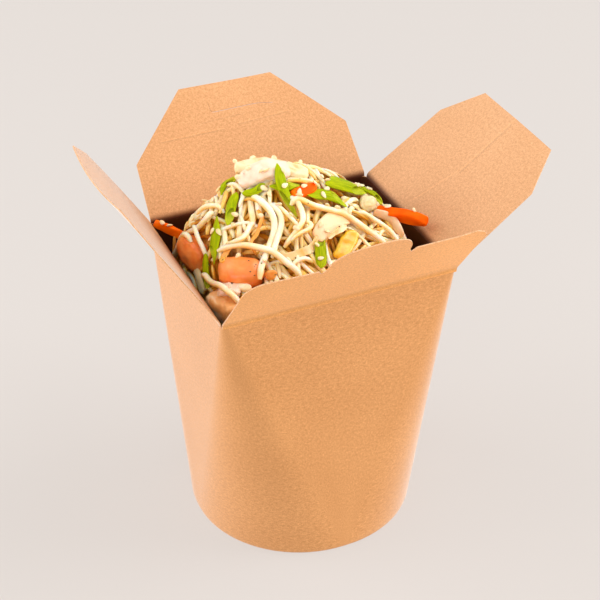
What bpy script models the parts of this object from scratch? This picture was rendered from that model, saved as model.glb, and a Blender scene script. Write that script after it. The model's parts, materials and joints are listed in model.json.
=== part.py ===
"""Noodle takeaway box: an open kraft paperboard carton, heaped with noodles.

The carton has a round foot and a square mouth. Its wall is one sheet of board, its floor is a
recessed pan held in a folded hem, and four flaps open on creases along the mouth. The food is
one heap of noodles with the larger toppings lying on it. Metres, +Z up, the flat foot at z = 0.
"""

import math

import bmesh
import bpy
import numpy as np
from mathutils import Matrix, Vector

# Carton
MOUTH_WIDTH = 0.0920            # across the two side creases
MOUTH_DEPTH = 0.0769            # across the front and back creases
CREASE_HEIGHT = 0.1143
FOOT_RADIUS = 0.0440
FOOT_CORNER = 0.0430            # corner radius at the foot, nearly a full circle
MOUTH_CORNER = 0.0020           # corner radius at the mouth
SHARPEST_CORNER = 0.0003
BOARD = 0.00045                 # thickness of the paperboard
GAP = 0.0003                    # clearance between pieces that touch
CORNER_STEPS = 12
HEM_HEIGHT = 0.0060             # the wall's lower edge, folded inwards and up
CREASE_GAP = 0.0005             # from a crease's axis to the board on either side of it

# Flaps: angle of each from upright, and its size along and away from its crease
BACK_ANGLE = math.radians(46.8)
FRONT_ANGLE = math.radians(35.0)
LEFT_ANGLE = math.radians(32.0)
RIGHT_ANGLE = math.radians(54.8)
BACK_HALF_WIDTH = 0.0451
BACK_SHOULDER = (0.0442, 0.0225)    # half width and height where the cut-off corners start
BACK_TOP = (0.0195, 0.0487)
SIDE_HALF_WIDTH = 0.0370
SIDE_SHOULDER = (0.0356, 0.0384)
SIDE_TOP = (0.0249, 0.0551)
RIGHT_RIDGE = 0.028             # rise of the right flap's middle crease for each metre of height
LEFT_BOW = 0.0019               # how far the middle of the left flap's top edge stands out
LEFT_TWIST = (0.0003, 0.0014)   # how far its front and back top corners are bent out
LEFT_SLANT = 0.0040             # how much higher its cut-off corner starts at the back
FRONT_HALF_WIDTH = 0.0458
FRONT_SHOULDER = (0.0435, 0.0313)
FRONT_CORNER = 0.0075           # radius of the rounded shoulder
FRONT_EAR = [(0.0478, 0.0283), (0.0430, 0.0326), (0.0360, 0.0313)]  # the other, pulled out
TONGUE_HALF_WIDTH = 0.0155
TONGUE_SHIFT = 0.0014           # of the tongue's middle, towards the ear
TONGUE_TOP = 0.0438
TONGUE_FULLNESS = 2.6           # superellipse exponent of the tongue's edge
NOTCH_WIDTH = 0.0030
NOTCH_DEPTH = 0.0026            # how far the cuts beside the tongue run below the shoulder
SLOT_LENGTH = 0.0270
SLOT_WIDTH = 0.0004
SLOT_PLACE = (0.0027, 0.0372)   # middle of the slot along and above the crease
SLOT_TILT = math.radians(2.0)

# Food
HEAP_EDGE = 0.1020              # level of the noodles where they meet the wall
HEAP_SHOULDER = 0.1050
HEAP_RISE = 0.0400
HEAP_TOP = (-0.0096, 0.0100)
HEAP_REACH = {"left": 0.0356, "right": 0.0468, "front": 0.0360, "back": 0.0182}
HEAP_FULLNESS = 0.91
EDGE_SLOPE = 0.0080             # width of the bank between the heap and the wall
HEAP_RINGS = 13
HEAP_FLAT_STEPS = 5
KNOLLS = 46
KNOLL_RISE = 0.0021
SECTION_SIDES = 8
ROUTE_STEPS = 9

COLOURS = {
    "kraft": (0.48, 0.27, 0.13, 0.85),
    "noodle": (0.80, 0.66, 0.38, 0.45),
    "chicken": (0.83, 0.68, 0.50, 0.50),
    "glazed": (0.72, 0.27, 0.10, 0.35),
    "brown_chicken": (0.55, 0.30, 0.15, 0.50),
    "carrot": (0.85, 0.22, 0.02, 0.40),
    "green": (0.24, 0.42, 0.03, 0.40),
    "cabbage": (0.82, 0.76, 0.46, 0.40),
    "pepper": (0.84, 0.52, 0.05, 0.35),
}


# ---------------------------------------------------------------------------------------------
# Building blocks

def material(name):
    """The Principled material of one substance: red, green, blue, roughness."""
    if name in bpy.data.materials:
        return bpy.data.materials[name]
    red, green, blue, roughness = COLOURS[name]
    made = bpy.data.materials.new(name)
    made.use_nodes = True
    shader = made.node_tree.nodes["Principled BSDF"]
    shader.inputs["Base Color"].default_value = (red, green, blue, 1.0)
    shader.inputs["Roughness"].default_value = roughness
    shader.inputs["Metallic"].default_value = 0.0
    return made


def add_object(name, bm, parent, substance):
    """Turn a closed bmesh into a named object, its faces pointing out."""
    bmesh.ops.recalc_face_normals(bm, faces=bm.faces)
    mesh = bpy.data.meshes.new(name)
    bm.to_mesh(mesh)
    bm.free()
    mesh.shade_smooth()
    mesh.set_sharp_from_angle(angle=math.radians(35))
    mesh.materials.append(material(substance))
    made = bpy.data.objects.new(name, mesh)
    bpy.context.collection.objects.link(made)
    made.parent = parent
    return made


def add_empty(name, parent=None, location=(0, 0, 0), turn=0.0):
    """An empty turned about +Z, to carry other objects."""
    made = bpy.data.objects.new(name, None)
    made.empty_display_size = 0.01
    bpy.context.collection.objects.link(made)
    made.parent = parent
    made.location = location
    made.rotation_euler = (0.0, 0.0, turn)
    return made


def skin(rings, closed):
    """Join equal rings of points by quads; a profile that isn't closed gets a cap at each end."""
    bm = bmesh.new()
    loops = [[bm.verts.new(point) for point in ring] for ring in rings]
    count = len(loops[0])
    pairs = list(zip(loops, loops[1:]))
    if closed:
        pairs.append((loops[-1], loops[0]))
    for lower, upper in pairs:
        for i in range(count):
            j = (i + 1) % count
            bm.faces.new((lower[i], lower[j], upper[j], upper[i]))
    if not closed:
        bm.faces.new(loops[0])
        bm.faces.new(loops[-1])
    return bm


def subtract(target, cutter):
    """Cut one object by another, which is then only a cutter."""
    cutter.hide_render = True
    cutter.display_type = "WIRE"
    cut = target.modifiers.new("cut_" + cutter.name, "BOOLEAN")
    cut.operation = "DIFFERENCE"
    cut.solver = "EXACT"
    cut.object = cutter


# ---------------------------------------------------------------------------------------------
# Carton

def half_sides(height, inset):
    """Half width, half depth and corner radius of the carton at a height, inset from outside."""
    rise = height / CREASE_HEIGHT
    half_x = FOOT_RADIUS + rise * (MOUTH_WIDTH / 2 - FOOT_RADIUS) - inset
    half_y = FOOT_RADIUS + rise * (MOUTH_DEPTH / 2 - FOOT_RADIUS) - inset
    radius = FOOT_CORNER + rise * (MOUTH_CORNER - FOOT_CORNER) - inset
    return half_x, half_y, max(radius, SHARPEST_CORNER)


def outline(height, inset, flat_steps=1):
    """Points round the carton at a height: four arcs joined by four straight sides.

    Sides and corner radius change evenly with height, so the wall is four flat triangles
    between four quarter cones, as a folded sheet makes it.
    """
    half_x, half_y, radius = half_sides(height, inset)
    arcs = []
    for corner in range(4):
        angles = np.linspace(corner, corner + 1, CORNER_STEPS + 1) * math.pi / 2
        middle = (corner + 0.5) * math.pi / 2
        centre_x = math.copysign(half_x - radius, math.cos(middle))
        centre_y = math.copysign(half_y - radius, math.sin(middle))
        arcs.append(np.stack([centre_x + radius * np.cos(angles),
                              centre_y + radius * np.sin(angles)], axis=1))
    points = []
    for corner, arc in enumerate(arcs):
        start, end = arc[-1], arcs[(corner + 1) % 4][0]
        points.extend(arc)
        points.extend(start + (end - start) * step / flat_steps for step in range(1, flat_steps))
    return np.array([(x, y, height) for x, y in points])


def make_wall(parent):
    """The wall with its hem: up the outside, over the crease edge, down inside, round the hem."""
    slot_outer = BOARD
    slot_inner = 2 * BOARD + 2 * GAP
    hem_inner = slot_inner + BOARD
    top = CREASE_HEIGHT - CREASE_GAP
    profile = [(0.0, 0.0), (top, 0.0), (top, BOARD), (BOARD, slot_outer),
               (BOARD, slot_inner), (HEM_HEIGHT, slot_inner), (HEM_HEIGHT, hem_inner),
               (0.0, hem_inner)]
    rings = [outline(height, inset) for height, inset in profile]
    return add_object("carton_wall", skin(rings, closed=True), parent, "kraft")


def pan_top():
    """Height of the floor's upper face."""
    return HEM_HEIGHT + GAP + BOARD


def make_base(parent):
    """The recessed floor: a pan turned downwards, its rim held between the wall and the hem."""
    outer = BOARD + GAP
    inner = outer + BOARD
    rim = BOARD + GAP
    profile = [(HEM_HEIGHT + GAP, inner), (rim, inner), (rim, outer), (pan_top(), outer)]
    rings = [outline(height, inset) for height, inset in profile]
    return add_object("carton_base", skin(rings, closed=False), parent, "kraft")


# ---------------------------------------------------------------------------------------------
# Flaps, each modelled upright with its crease along X, its outer face towards +Y

def flat_board(u, height):
    """A flap that stays flat."""
    return 0.0


def ridged_board(u, height):
    """The right flap: a pressed crease up its middle stands in towards the food."""
    return -RIGHT_RIDGE * height * (1 - abs(u))


def bowed_board(u, height):
    """The left flap: it bows outwards more and more towards its top, mostly at the back."""
    front, back = LEFT_TWIST
    corner = front + (back - front) * (1 + u) / 2
    return (corner + LEFT_BOW * (1 - u * u)) * (height / SIDE_TOP[1]) ** 2


def tapered_plate(rows, bulge):
    """A sheet between rows of (half width, height, extra height at the right end of the row).

    bulge(u, height) is how far it stands out there, u running from -1 to 1 along a row.
    """
    columns = np.linspace(-1.0, 1.0, 5)
    levels = []
    for low, high in zip(rows, rows[1:]):
        for step in (0.0, 0.5):
            levels.append([a + step * (b - a) for a, b in zip(low, high)])
    levels.append(rows[-1])
    bm = bmesh.new()
    faces = []
    for side in (-BOARD / 2, BOARD / 2):
        sheet = [[bm.verts.new((half * u, side + bulge(u, height), height + slant * (1 + u) / 2))
                  for u in columns] for half, height, slant in levels]
        faces.append(sheet)
        for lower, upper in zip(sheet, sheet[1:]):
            for i in range(len(columns) - 1):
                bm.faces.new((lower[i], lower[i + 1], upper[i + 1], upper[i]))
    borders = []
    for sheet in faces:
        right = [row[-1] for row in sheet[1:-1]]
        left = [row[0] for row in sheet[1:-1]]
        borders.append(sheet[0] + right + sheet[-1][::-1] + left[::-1])
    inner, outer = borders
    for i in range(len(inner)):
        j = (i + 1) % len(inner)
        bm.faces.new((inner[i], inner[j], outer[j], outer[i]))
    return bm


def tongue_side(direction):
    """Edge of the front flap from its shoulder to the tongue's tip, on the side -1 or +1."""
    centre = -TONGUE_SHIFT
    shoulder = FRONT_SHOULDER[1]
    foot = centre + direction * TONGUE_HALF_WIDTH
    points = [(foot + direction * NOTCH_WIDTH, shoulder),
              (foot + direction * NOTCH_WIDTH / 2, shoulder - NOTCH_DEPTH)]
    power = 2 / TONGUE_FULLNESS
    for angle in np.linspace(0.0, math.pi / 2, 7):
        points.append((centre + direction * TONGUE_HALF_WIDTH * math.cos(angle) ** power,
                       shoulder + (TONGUE_TOP - shoulder) * math.sin(angle) ** power))
    return points


def tongued_plate():
    """The front flap, cut from flat board: a tongue between a rounded shoulder and an ear."""
    half, shoulder = FRONT_SHOULDER
    rounded = [(half - FRONT_CORNER * (1 - math.cos(angle)),
                shoulder - FRONT_CORNER * (1 - math.sin(angle)))
               for angle in np.linspace(0.0, math.pi / 2, 6)]
    eared = [(-x, height) for x, height in FRONT_EAR]
    edge = [(FRONT_HALF_WIDTH, CREASE_GAP)] + rounded + tongue_side(1)
    edge += tongue_side(-1)[-2::-1] + eared[::-1] + [(-FRONT_HALF_WIDTH, CREASE_GAP)]
    bm = bmesh.new()
    inner = [bm.verts.new((x, -BOARD / 2, height)) for x, height in edge]
    outer = [bm.verts.new((x, BOARD / 2, height)) for x, height in edge]
    bm.faces.new(inner)
    bm.faces.new(outer)
    for i in range(len(edge)):
        j = (i + 1) % len(edge)
        bm.faces.new((inner[i], inner[j], outer[j], outer[i]))
    return bm


def hinge_flap(name, bm, parent, crease, turn, angle):
    """Put a flap on its crease: the empty holds the axis, the flap leans outwards on it."""
    hinge = add_empty("crease_" + name, parent, crease, turn)
    flap = add_object(name, bm, hinge, "kraft")
    flap.rotation_euler = (-angle, 0.0, 0.0)
    return flap


def make_flaps(parent):
    """The four flaps on the four sides of the mouth."""
    side = MOUTH_WIDTH / 2 - BOARD / 2
    end = MOUTH_DEPTH / 2 - BOARD / 2
    back_rows = [(BACK_HALF_WIDTH, CREASE_GAP, 0.0), (*BACK_SHOULDER, 0.0), (*BACK_TOP, 0.0)]
    left_rows = [(SIDE_HALF_WIDTH, CREASE_GAP, 0.0), (*SIDE_SHOULDER, LEFT_SLANT), (*SIDE_TOP, 0.0)]
    right_rows = [(SIDE_HALF_WIDTH, CREASE_GAP, 0.0), (*SIDE_SHOULDER, 0.0), (*SIDE_TOP, 0.0)]
    back = hinge_flap("flap_back", tapered_plate(back_rows, flat_board), parent,
                      (0.0, end, CREASE_HEIGHT), 0.0, BACK_ANGLE)
    hinge_flap("flap_left", tapered_plate(left_rows, bowed_board), parent,
               (-side, 0.0, CREASE_HEIGHT), math.pi / 2, LEFT_ANGLE)
    hinge_flap("flap_front", tongued_plate(), parent,
               (0.0, -end, CREASE_HEIGHT), math.pi, FRONT_ANGLE)
    hinge_flap("flap_right", tapered_plate(right_rows, ridged_board), parent,
               (side, 0.0, CREASE_HEIGHT), -math.pi / 2, RIGHT_ANGLE)
    cutter = bmesh.new()
    bmesh.ops.create_cube(cutter, size=1.0)
    bmesh.ops.scale(cutter, vec=(SLOT_LENGTH, 6 * BOARD, SLOT_WIDTH), verts=cutter.verts)
    slot = add_object("lock_slot", cutter, back, "kraft")
    slot.location = (SLOT_PLACE[0], 0.0, SLOT_PLACE[1])
    slot.rotation_euler = (0.0, SLOT_TILT, 0.0)
    subtract(back, slot)


# ---------------------------------------------------------------------------------------------
# Food

def wall_distance(x, y):
    """How far a point lies inside the noodles' outline at the wall, of straight sides and arcs."""
    half_x, half_y, radius = half_sides(HEAP_EDGE, BOARD + GAP)
    over_x = abs(x) - (half_x - radius)
    over_y = abs(y) - (half_y - radius)
    beyond = math.hypot(max(over_x, 0.0), max(over_y, 0.0))
    return radius - beyond - min(max(over_x, over_y), 0.0)


def scatter_knolls():
    """Seeded humps and hollows of the heap: place, width and rise of each."""
    rng = np.random.default_rng(26)
    places = rng.uniform((-0.038, -0.032), (0.038, 0.032), (KNOLLS, 2))
    widths = rng.uniform(0.0035, 0.0065, KNOLLS)
    rises = rng.uniform(-1.0, 1.0, KNOLLS) * KNOLL_RISE
    return list(zip(places[:, 0], places[:, 1], widths, rises))


HEAP_KNOLLS = scatter_knolls()


def heap_height(x, y):
    """Level of the noodles: a mound behind the middle of the mouth, banked down at the wall."""
    reach_x = HEAP_REACH["left"] if x < HEAP_TOP[0] else HEAP_REACH["right"]
    reach_y = HEAP_REACH["front"] if y < HEAP_TOP[1] else HEAP_REACH["back"]
    away = ((x - HEAP_TOP[0]) / reach_x) ** 2 + ((y - HEAP_TOP[1]) / reach_y) ** 2
    level = HEAP_SHOULDER + HEAP_RISE * math.exp(-away ** HEAP_FULLNESS)
    for place_x, place_y, width, rise in HEAP_KNOLLS:
        spread = ((x - place_x) ** 2 + (y - place_y) ** 2) / width ** 2
        level += rise * math.exp(-spread)
    bank = min(max(wall_distance(x, y) / EDGE_SLOPE, 0.0), 1.0)
    bank = bank * bank * (3 - 2 * bank)
    return HEAP_EDGE + (level - HEAP_EDGE) * bank


def heap_normal(x, y):
    """Direction straight out of the noodles' surface, from its slope over a few millimetres."""
    reach = 0.003
    slope_x = (heap_height(x + reach, y) - heap_height(x - reach, y)) / (2 * reach)
    slope_y = (heap_height(x, y + reach) - heap_height(x, y - reach)) / (2 * reach)
    return Vector((-slope_x, -slope_y, 1.0)).normalized()


def make_heap(parent):
    """The noodles as one solid, from the floor to their uneven top."""
    inset = BOARD + GAP
    rings = [outline(pan_top() + GAP, inset, HEAP_FLAT_STEPS)]
    edge = outline(HEAP_EDGE, inset, HEAP_FLAT_STEPS)
    for ring in range(HEAP_RINGS, 0, -1):
        scaled = edge[:, :2] * ring / HEAP_RINGS
        rings.append([(x, y, heap_height(x, y)) for x, y in scaled])
    bm = skin(rings, closed=False)
    return add_object("noodle_heap", bm, parent, "noodle")


def smooth_route(points, count):
    """Samples of the Catmull-Rom curve through the points."""
    points = [Vector(point) for point in points]
    points = [2 * points[0] - points[1]] + points + [2 * points[-1] - points[-2]]
    spans = len(points) - 3
    samples = []
    for step in np.linspace(0.0, spans, count):
        k = min(int(step), spans - 1)
        t = step - k
        a, b, c, d = points[k:k + 4]
        samples.append(0.5 * (2 * b + (c - a) * t + (2 * a - 5 * b + 4 * c - d) * t * t
                              + (3 * b - a - 3 * c + d) * t ** 3))
    return samples


def lying(points):
    """Points given as x, y and height above the noodles, as places in space."""
    return [(x, y, heap_height(x, y) + lift) for x, y, lift in points]


def swept_piece(route, half_width, half_thickness, start=0.35, end=0.35, squareness=2.0,
                roll=0.0, grow=0.0):
    """A slice along a route, flat on the noodles: its section is a superellipse, its ends taper.

    start and end are the share of the full width left at each end, squareness 2 is an
    ellipse and 4 a bar with rounded edges, and roll turns the section about the route.
    """
    route = smooth_route(route, ROUTE_STEPS)
    tangents = [(b - a).normalized() for a, b in zip(route, route[1:])]
    tangents.append(tangents[-1].copy())
    route[0] = route[0] - tangents[0] * grow
    route[-1] = route[-1] + tangents[-1] * grow
    rings = []
    for step, (point, along) in enumerate(zip(route, tangents)):
        t = step / (ROUTE_STEPS - 1)
        taper = min(1.0, start + (1 - start) * math.sin(min(t / 0.3, 1.0) * math.pi / 2))
        taper = min(taper, end + (1 - end) * math.sin(min((1 - t) / 0.3, 1.0) * math.pi / 2))
        across = along.cross(heap_normal(point.x, point.y)).normalized()
        across = Matrix.Rotation(roll, 3, along) @ across
        above = across.cross(along).normalized()
        ring = []
        for side in range(SECTION_SIDES):
            angle = 2 * math.pi * (side + 0.5) / SECTION_SIDES
            c, s = math.cos(angle), math.sin(angle)
            reach_c = math.copysign(abs(c) ** (2 / squareness), c)
            reach_s = math.copysign(abs(s) ** (2 / squareness), s)
            ring.append(point + across * (half_width * taper + grow) * reach_c
                        + above * (half_thickness * (0.5 + taper / 2) + grow) * reach_s)
        rings.append(ring)
    return skin(rings, closed=False)


def chunk_piece(centre, radii, turn, tilt=0.0, dents=0.10, seed=1, grow=0.0):
    """A rounded lump: an icosphere stretched to its radii and dented by three seeded waves."""
    rng = np.random.default_rng(seed)
    waves = [(Vector(rng.normal(size=3)).normalized() * rng.uniform(2.0, 3.5),
              rng.uniform(0, 2 * math.pi)) for _ in range(3)]
    bm = bmesh.new()
    bmesh.ops.create_icosphere(bm, subdivisions=2, radius=1.0)
    frame = Matrix.Rotation(turn, 3, "Z") @ Matrix.Rotation(tilt, 3, "X")
    for vert in bm.verts:
        way = vert.co.normalized()
        swell = 1.0 + dents / 3 * sum(math.sin(way.dot(wave) + phase) for wave, phase in waves)
        reach = Vector([c * (radius * swell + grow) for c, radius in zip(way, radii)])
        vert.co = frame @ reach + Vector(centre)
    return bm


# What lies on the noodles, uppermost first. Each row is the node's name, its substance, how it
# is shaped and the values of that shape; a route's points are x, y and height above the noodles.
SPRING_ONIONS = [
    ([(-0.0064, 0.0030, 0.0050), (-0.0079, -0.0024, 0.0038), (-0.0066, -0.0112, 0.0014)],
     dict(half_width=0.0021, half_thickness=0.0010, start=0.2, end=0.2)),
    ([(-0.0122, -0.0012, 0.0016), (-0.0062, -0.0020, 0.0018), (0.0000, -0.0008, 0.0016)],
     dict(half_width=0.0016, half_thickness=0.0009, start=0.3, end=0.3)),
    ([(-0.0212, 0.0022, 0.0020), (-0.0172, 0.0003, 0.0020), (-0.0131, 0.0005, 0.0020)],
     dict(half_width=0.0016, half_thickness=0.0010, start=0.4, end=0.3)),
    ([(-0.0272, 0.0098, 0.0014), (-0.0240, 0.0128, 0.0020), (-0.0206, 0.0098, 0.0020)],
     dict(half_width=0.0014, half_thickness=0.0011, start=0.5, end=0.5)),
    ([(-0.0228, 0.0042, 0.0016), (-0.0258, 0.0016, 0.0016), (-0.0292, -0.0036, 0.0014)],
     dict(half_width=0.0020, half_thickness=0.0009, start=0.5, end=0.15)),
    ([(-0.0308, 0.0014, 0.0018), (-0.0352, -0.0052, 0.0018), (-0.0384, -0.0098, 0.0024)],
     dict(half_width=0.0019, half_thickness=0.0010, start=0.15, end=0.3)),
    ([(-0.0386, -0.0040, 0.0016), (-0.0400, -0.0078, 0.0018), (-0.0410, -0.0122, 0.0028)],
     dict(half_width=0.0017, half_thickness=0.0009, start=0.2, end=0.4)),
    ([(0.0006, -0.0164, 0.0016), (-0.0010, -0.0218, 0.0018), (-0.0032, -0.0272, 0.0016)],
     dict(half_width=0.0024, half_thickness=0.0010, start=0.2, end=0.9)),
    ([(0.0104, 0.0012, 0.0018), (0.0208, 0.0054, 0.0020), (0.0322, 0.0070, 0.0018)],
     dict(half_width=0.0034, half_thickness=0.0009, start=0.3, end=0.3)),
    ([(0.0008, -0.0050, 0.0016), (0.0095, -0.0030, 0.0018), (0.0176, -0.0048, 0.0014)],
     dict(half_width=0.0023, half_thickness=0.0009, start=0.3, end=0.5)),
    ([(0.0300, 0.0104, 0.0018), (0.0346, 0.0082, 0.0020), (0.0360, 0.0036, 0.0018)],
     dict(half_width=0.0019, half_thickness=0.0009, start=0.4, end=0.2)),
]
TOPPINGS = [
    ("chicken_strip", "chicken", "slice",
     [(-0.0196, 0.0144, 0.0056), (-0.0085, 0.0095, -0.0018), (0.0058, 0.0042, -0.0002)],
     dict(half_width=0.0036, half_thickness=0.0024, start=0.8, end=0.7, squareness=3.0)),
    ("carrot_middle", "carrot", "slice",
     [(-0.0050, -0.0046, 0.0018), (0.0058, -0.0018, 0.0022)],
     dict(half_width=0.0021, half_thickness=0.0014, start=0.8, end=0.6, squareness=4.0)),
    ("chicken_slice", "chicken", "slice",
     [(-0.0208, 0.0068, 0.0012), (-0.0116, 0.0050, 0.0014), (-0.0020, 0.0040, 0.0012)],
     dict(half_width=0.0040, half_thickness=0.0022, start=0.6, end=0.7, squareness=3.0)),
    ("onion_slice", "cabbage", "slice",
     [(0.0284, -0.0046, 0.0018), (0.0345, -0.0072, 0.0024), (0.0356, -0.0150, 0.0022)],
     dict(half_width=0.0009, half_thickness=0.0019, start=0.5, end=0.4)),
    ("cabbage_slice", "cabbage", "slice",
     [(-0.0016, -0.0182, 0.0010), (0.0080, -0.0130, 0.0014), (0.0164, -0.0092, 0.0014)],
     dict(half_width=0.0036, half_thickness=0.0008, start=0.6, end=0.8, squareness=3.0)),
    ("pepper_piece", "pepper", "slice",
     [(0.0154, -0.0162, 0.0014), (0.0104, -0.0196, 0.0016), (0.0050, -0.0238, 0.0016)],
     dict(half_width=0.0030, half_thickness=0.0013, start=0.5, end=0.8, squareness=3.0)),
    ("radish_strip", "chicken", "slice",
     [(-0.0368, -0.0196, 0.0018), (-0.0331, -0.0228, 0.0020), (-0.0296, -0.0258, 0.0018)],
     dict(half_width=0.0016, half_thickness=0.0012, start=0.6, end=0.6, squareness=3.0)),
    ("cabbage_leaf", "cabbage", "slice",
     [(-0.0410, 0.0016, 0.0012), (-0.0412, -0.0030, 0.0012), (-0.0418, -0.0086, 0.0010)],
     dict(half_width=0.0022, half_thickness=0.0008, start=0.6, end=0.7)),
    ("chicken_bit", "chicken", "chunk", (-0.0370, -0.0228, 0.0022),
     dict(radii=(0.0040, 0.0028, 0.0024), turn=-0.6, seed=13)),
    ("cabbage_chunk", "cabbage", "chunk", (0.0283, 0.0005, 0.0010),
     dict(radii=(0.0036, 0.0030, 0.0024), turn=0.4, seed=3)),
    ("glazed_front", "glazed", "chunk", (-0.0303, -0.0178, 0.0010),
     dict(radii=(0.0084, 0.0056, 0.0054), turn=-0.45, tilt=0.5, seed=5)),
    ("glazed_left", "glazed", "chunk", (-0.0400, 0.0054, 0.0006),
     dict(radii=(0.0041, 0.0076, 0.0062), turn=0.2, seed=8)),
    ("brown_chunk", "brown_chicken", "chunk", (-0.0392, -0.0238, 0.0000),
     dict(radii=(0.0050, 0.0076, 0.0050), turn=0.3, seed=11)),
]
CARROT_RIGHT = [(0.0310, -0.0014, 0.1225), (0.0393, -0.0084, 0.1214), (0.0469, -0.0136, 0.1198)]
CARROT_RIGHT_SHAPE = dict(half_width=0.0027, half_thickness=0.0019, start=0.7, end=1.0,
                          squareness=4.0, roll=0.5)
CARROT_LEFT = [(-0.0362, 0.0247, 0.1122), (-0.0415, 0.0314, 0.1140), (-0.0442, 0.0362, 0.1138)]
CARROT_LEFT_SHAPE = dict(half_width=0.0017, half_thickness=0.0012, start=1.0, end=0.8,
                         squareness=4.0, roll=0.5)


def list_toppings():
    """Every topping, uppermost first: name, substance, builder and its values."""
    made = []
    for number, (route, shape) in enumerate(SPRING_ONIONS, 1):
        made.append((f"spring_onion_{number}", "green", swept_piece,
                     dict(route=lying(route), **shape)))
    for name, route, shape in (("carrot_right", CARROT_RIGHT, CARROT_RIGHT_SHAPE),
                               ("carrot_left", CARROT_LEFT, CARROT_LEFT_SHAPE)):
        made.append((name, "carrot", swept_piece, dict(route=route, **shape)))
    for name, substance, kind, place, shape in TOPPINGS:
        if kind == "slice":
            made.append((name, substance, swept_piece, dict(route=lying(place), **shape)))
        else:
            centre = lying([place])[0]
            made.append((name, substance, chunk_piece, dict(centre=centre, **shape)))
    return made


def boxes_meet(first, second):
    """Whether the boxes round two unturned objects overlap."""
    a = np.array([corner[:] for corner in first.bound_box])
    b = np.array([corner[:] for corner in second.bound_box])
    return bool(np.all(a.min(0) < b.max(0)) and np.all(b.min(0) < a.max(0)))


def make_food(parent):
    """The toppings and the heap; each is hollowed, with a gap, under what lies on it."""
    cutters = []
    for name, substance, build, values in list_toppings():
        piece = add_object(name, build(**values), parent, substance)
        for cutter in cutters:
            if boxes_meet(piece, cutter):
                subtract(piece, cutter)
        grown = add_object("room_for_" + name, build(grow=GAP, **values), parent, substance)
        grown.hide_render = True
        grown.display_type = "WIRE"
        cutters.append(grown)
    heap = make_heap(parent)
    for cutter in cutters:
        subtract(heap, cutter)


# ---------------------------------------------------------------------------------------------
# Assembly

def centre_on_origin(root):
    """Move everything so that the middle of the box round the object stands over the origin."""
    bpy.context.view_layer.update()
    points = [made.matrix_world @ vertex.co for made in bpy.data.objects
              if made.type == "MESH" and not made.hide_render for vertex in made.data.vertices]
    for axis in (0, 1):
        values = [point[axis] for point in points]
        root.location[axis] = -(min(values) + max(values)) / 2


def main():
    for old in list(bpy.data.objects):
        bpy.data.objects.remove(old, do_unlink=True)
    root = add_empty("carton")
    make_wall(root)
    make_base(root)
    make_flaps(root)
    make_food(root)
    centre_on_origin(root)


main()
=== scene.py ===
import json
import math

import bpy
import numpy as np
from mathutils import Matrix, Vector


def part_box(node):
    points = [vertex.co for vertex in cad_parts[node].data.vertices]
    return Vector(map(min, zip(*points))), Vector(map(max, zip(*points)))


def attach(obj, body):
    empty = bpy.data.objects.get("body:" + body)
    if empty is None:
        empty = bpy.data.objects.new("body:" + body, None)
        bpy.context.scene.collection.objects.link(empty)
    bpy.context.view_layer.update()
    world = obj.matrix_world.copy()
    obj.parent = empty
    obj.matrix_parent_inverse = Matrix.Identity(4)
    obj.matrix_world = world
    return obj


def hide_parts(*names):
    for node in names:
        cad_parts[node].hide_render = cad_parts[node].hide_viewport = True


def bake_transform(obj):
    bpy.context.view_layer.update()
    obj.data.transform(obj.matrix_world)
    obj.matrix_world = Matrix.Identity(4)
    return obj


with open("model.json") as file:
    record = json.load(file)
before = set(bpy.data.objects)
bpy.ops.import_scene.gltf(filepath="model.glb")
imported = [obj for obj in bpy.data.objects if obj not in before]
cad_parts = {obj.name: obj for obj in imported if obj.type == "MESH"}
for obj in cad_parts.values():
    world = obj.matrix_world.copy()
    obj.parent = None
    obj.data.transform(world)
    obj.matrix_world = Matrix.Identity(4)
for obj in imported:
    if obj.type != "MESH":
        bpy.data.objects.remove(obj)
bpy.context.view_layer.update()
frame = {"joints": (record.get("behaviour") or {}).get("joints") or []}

# ---------------------------------------------------------------------------------------------
# The place of everything: the carton stands on its round foot, and what follows is worked out
# from the middle of that foot, x to the right, y to the back and z up.

foot_low, foot_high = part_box("carton_base")
FOOT_CENTRE = np.array([(foot_low.x + foot_high.x) / 2, (foot_low.y + foot_high.y) / 2, 0.0])


# ---------------------------------------------------------------------------------------------
# Camera: a long lens, a little to the left of the front and looking down over the open mouth.

CAMERA_TURN = math.radians(-23.5)
CAMERA_RISE = math.radians(34.2)
CAMERA_ROLL = math.radians(-0.2)
CAMERA_DISTANCE = 0.6302
CAMERA_AIM = 0.0890
CAMERA_LENS = 99.18
CAMERA_SHIFT = 0.0012

turn_x, turn_y = math.cos(CAMERA_TURN), math.sin(CAMERA_TURN)
away = Vector((turn_y * math.cos(CAMERA_RISE), -turn_x * math.cos(CAMERA_RISE), math.sin(CAMERA_RISE)))
level_right = Vector((turn_x, turn_y, 0.0))
level_up = away.cross(level_right)
camera_right = level_right * math.cos(CAMERA_ROLL) + level_up * math.sin(CAMERA_ROLL)
camera_up = level_up * math.cos(CAMERA_ROLL) - level_right * math.sin(CAMERA_ROLL)
camera_place = Matrix((camera_right, camera_up, away)).transposed().to_4x4()
camera_place.translation = Vector(FOOT_CENTRE) + Vector((0, 0, CAMERA_AIM)) + away * CAMERA_DISTANCE
camera_data = bpy.data.cameras.new("camera")
camera_data.sensor_width = 36.0
camera_data.lens = CAMERA_LENS
camera_data.shift_x = CAMERA_SHIFT
camera = bpy.data.objects.new("camera", camera_data)
camera.matrix_world = camera_place
bpy.context.scene.collection.objects.link(camera)
bpy.context.scene.camera = camera


# ---------------------------------------------------------------------------------------------
# Light: a white room and large soft boxes, the strongest low on the right and behind on the left,
# where they graze the carton's sides. Colours are shown without a film curve.

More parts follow.
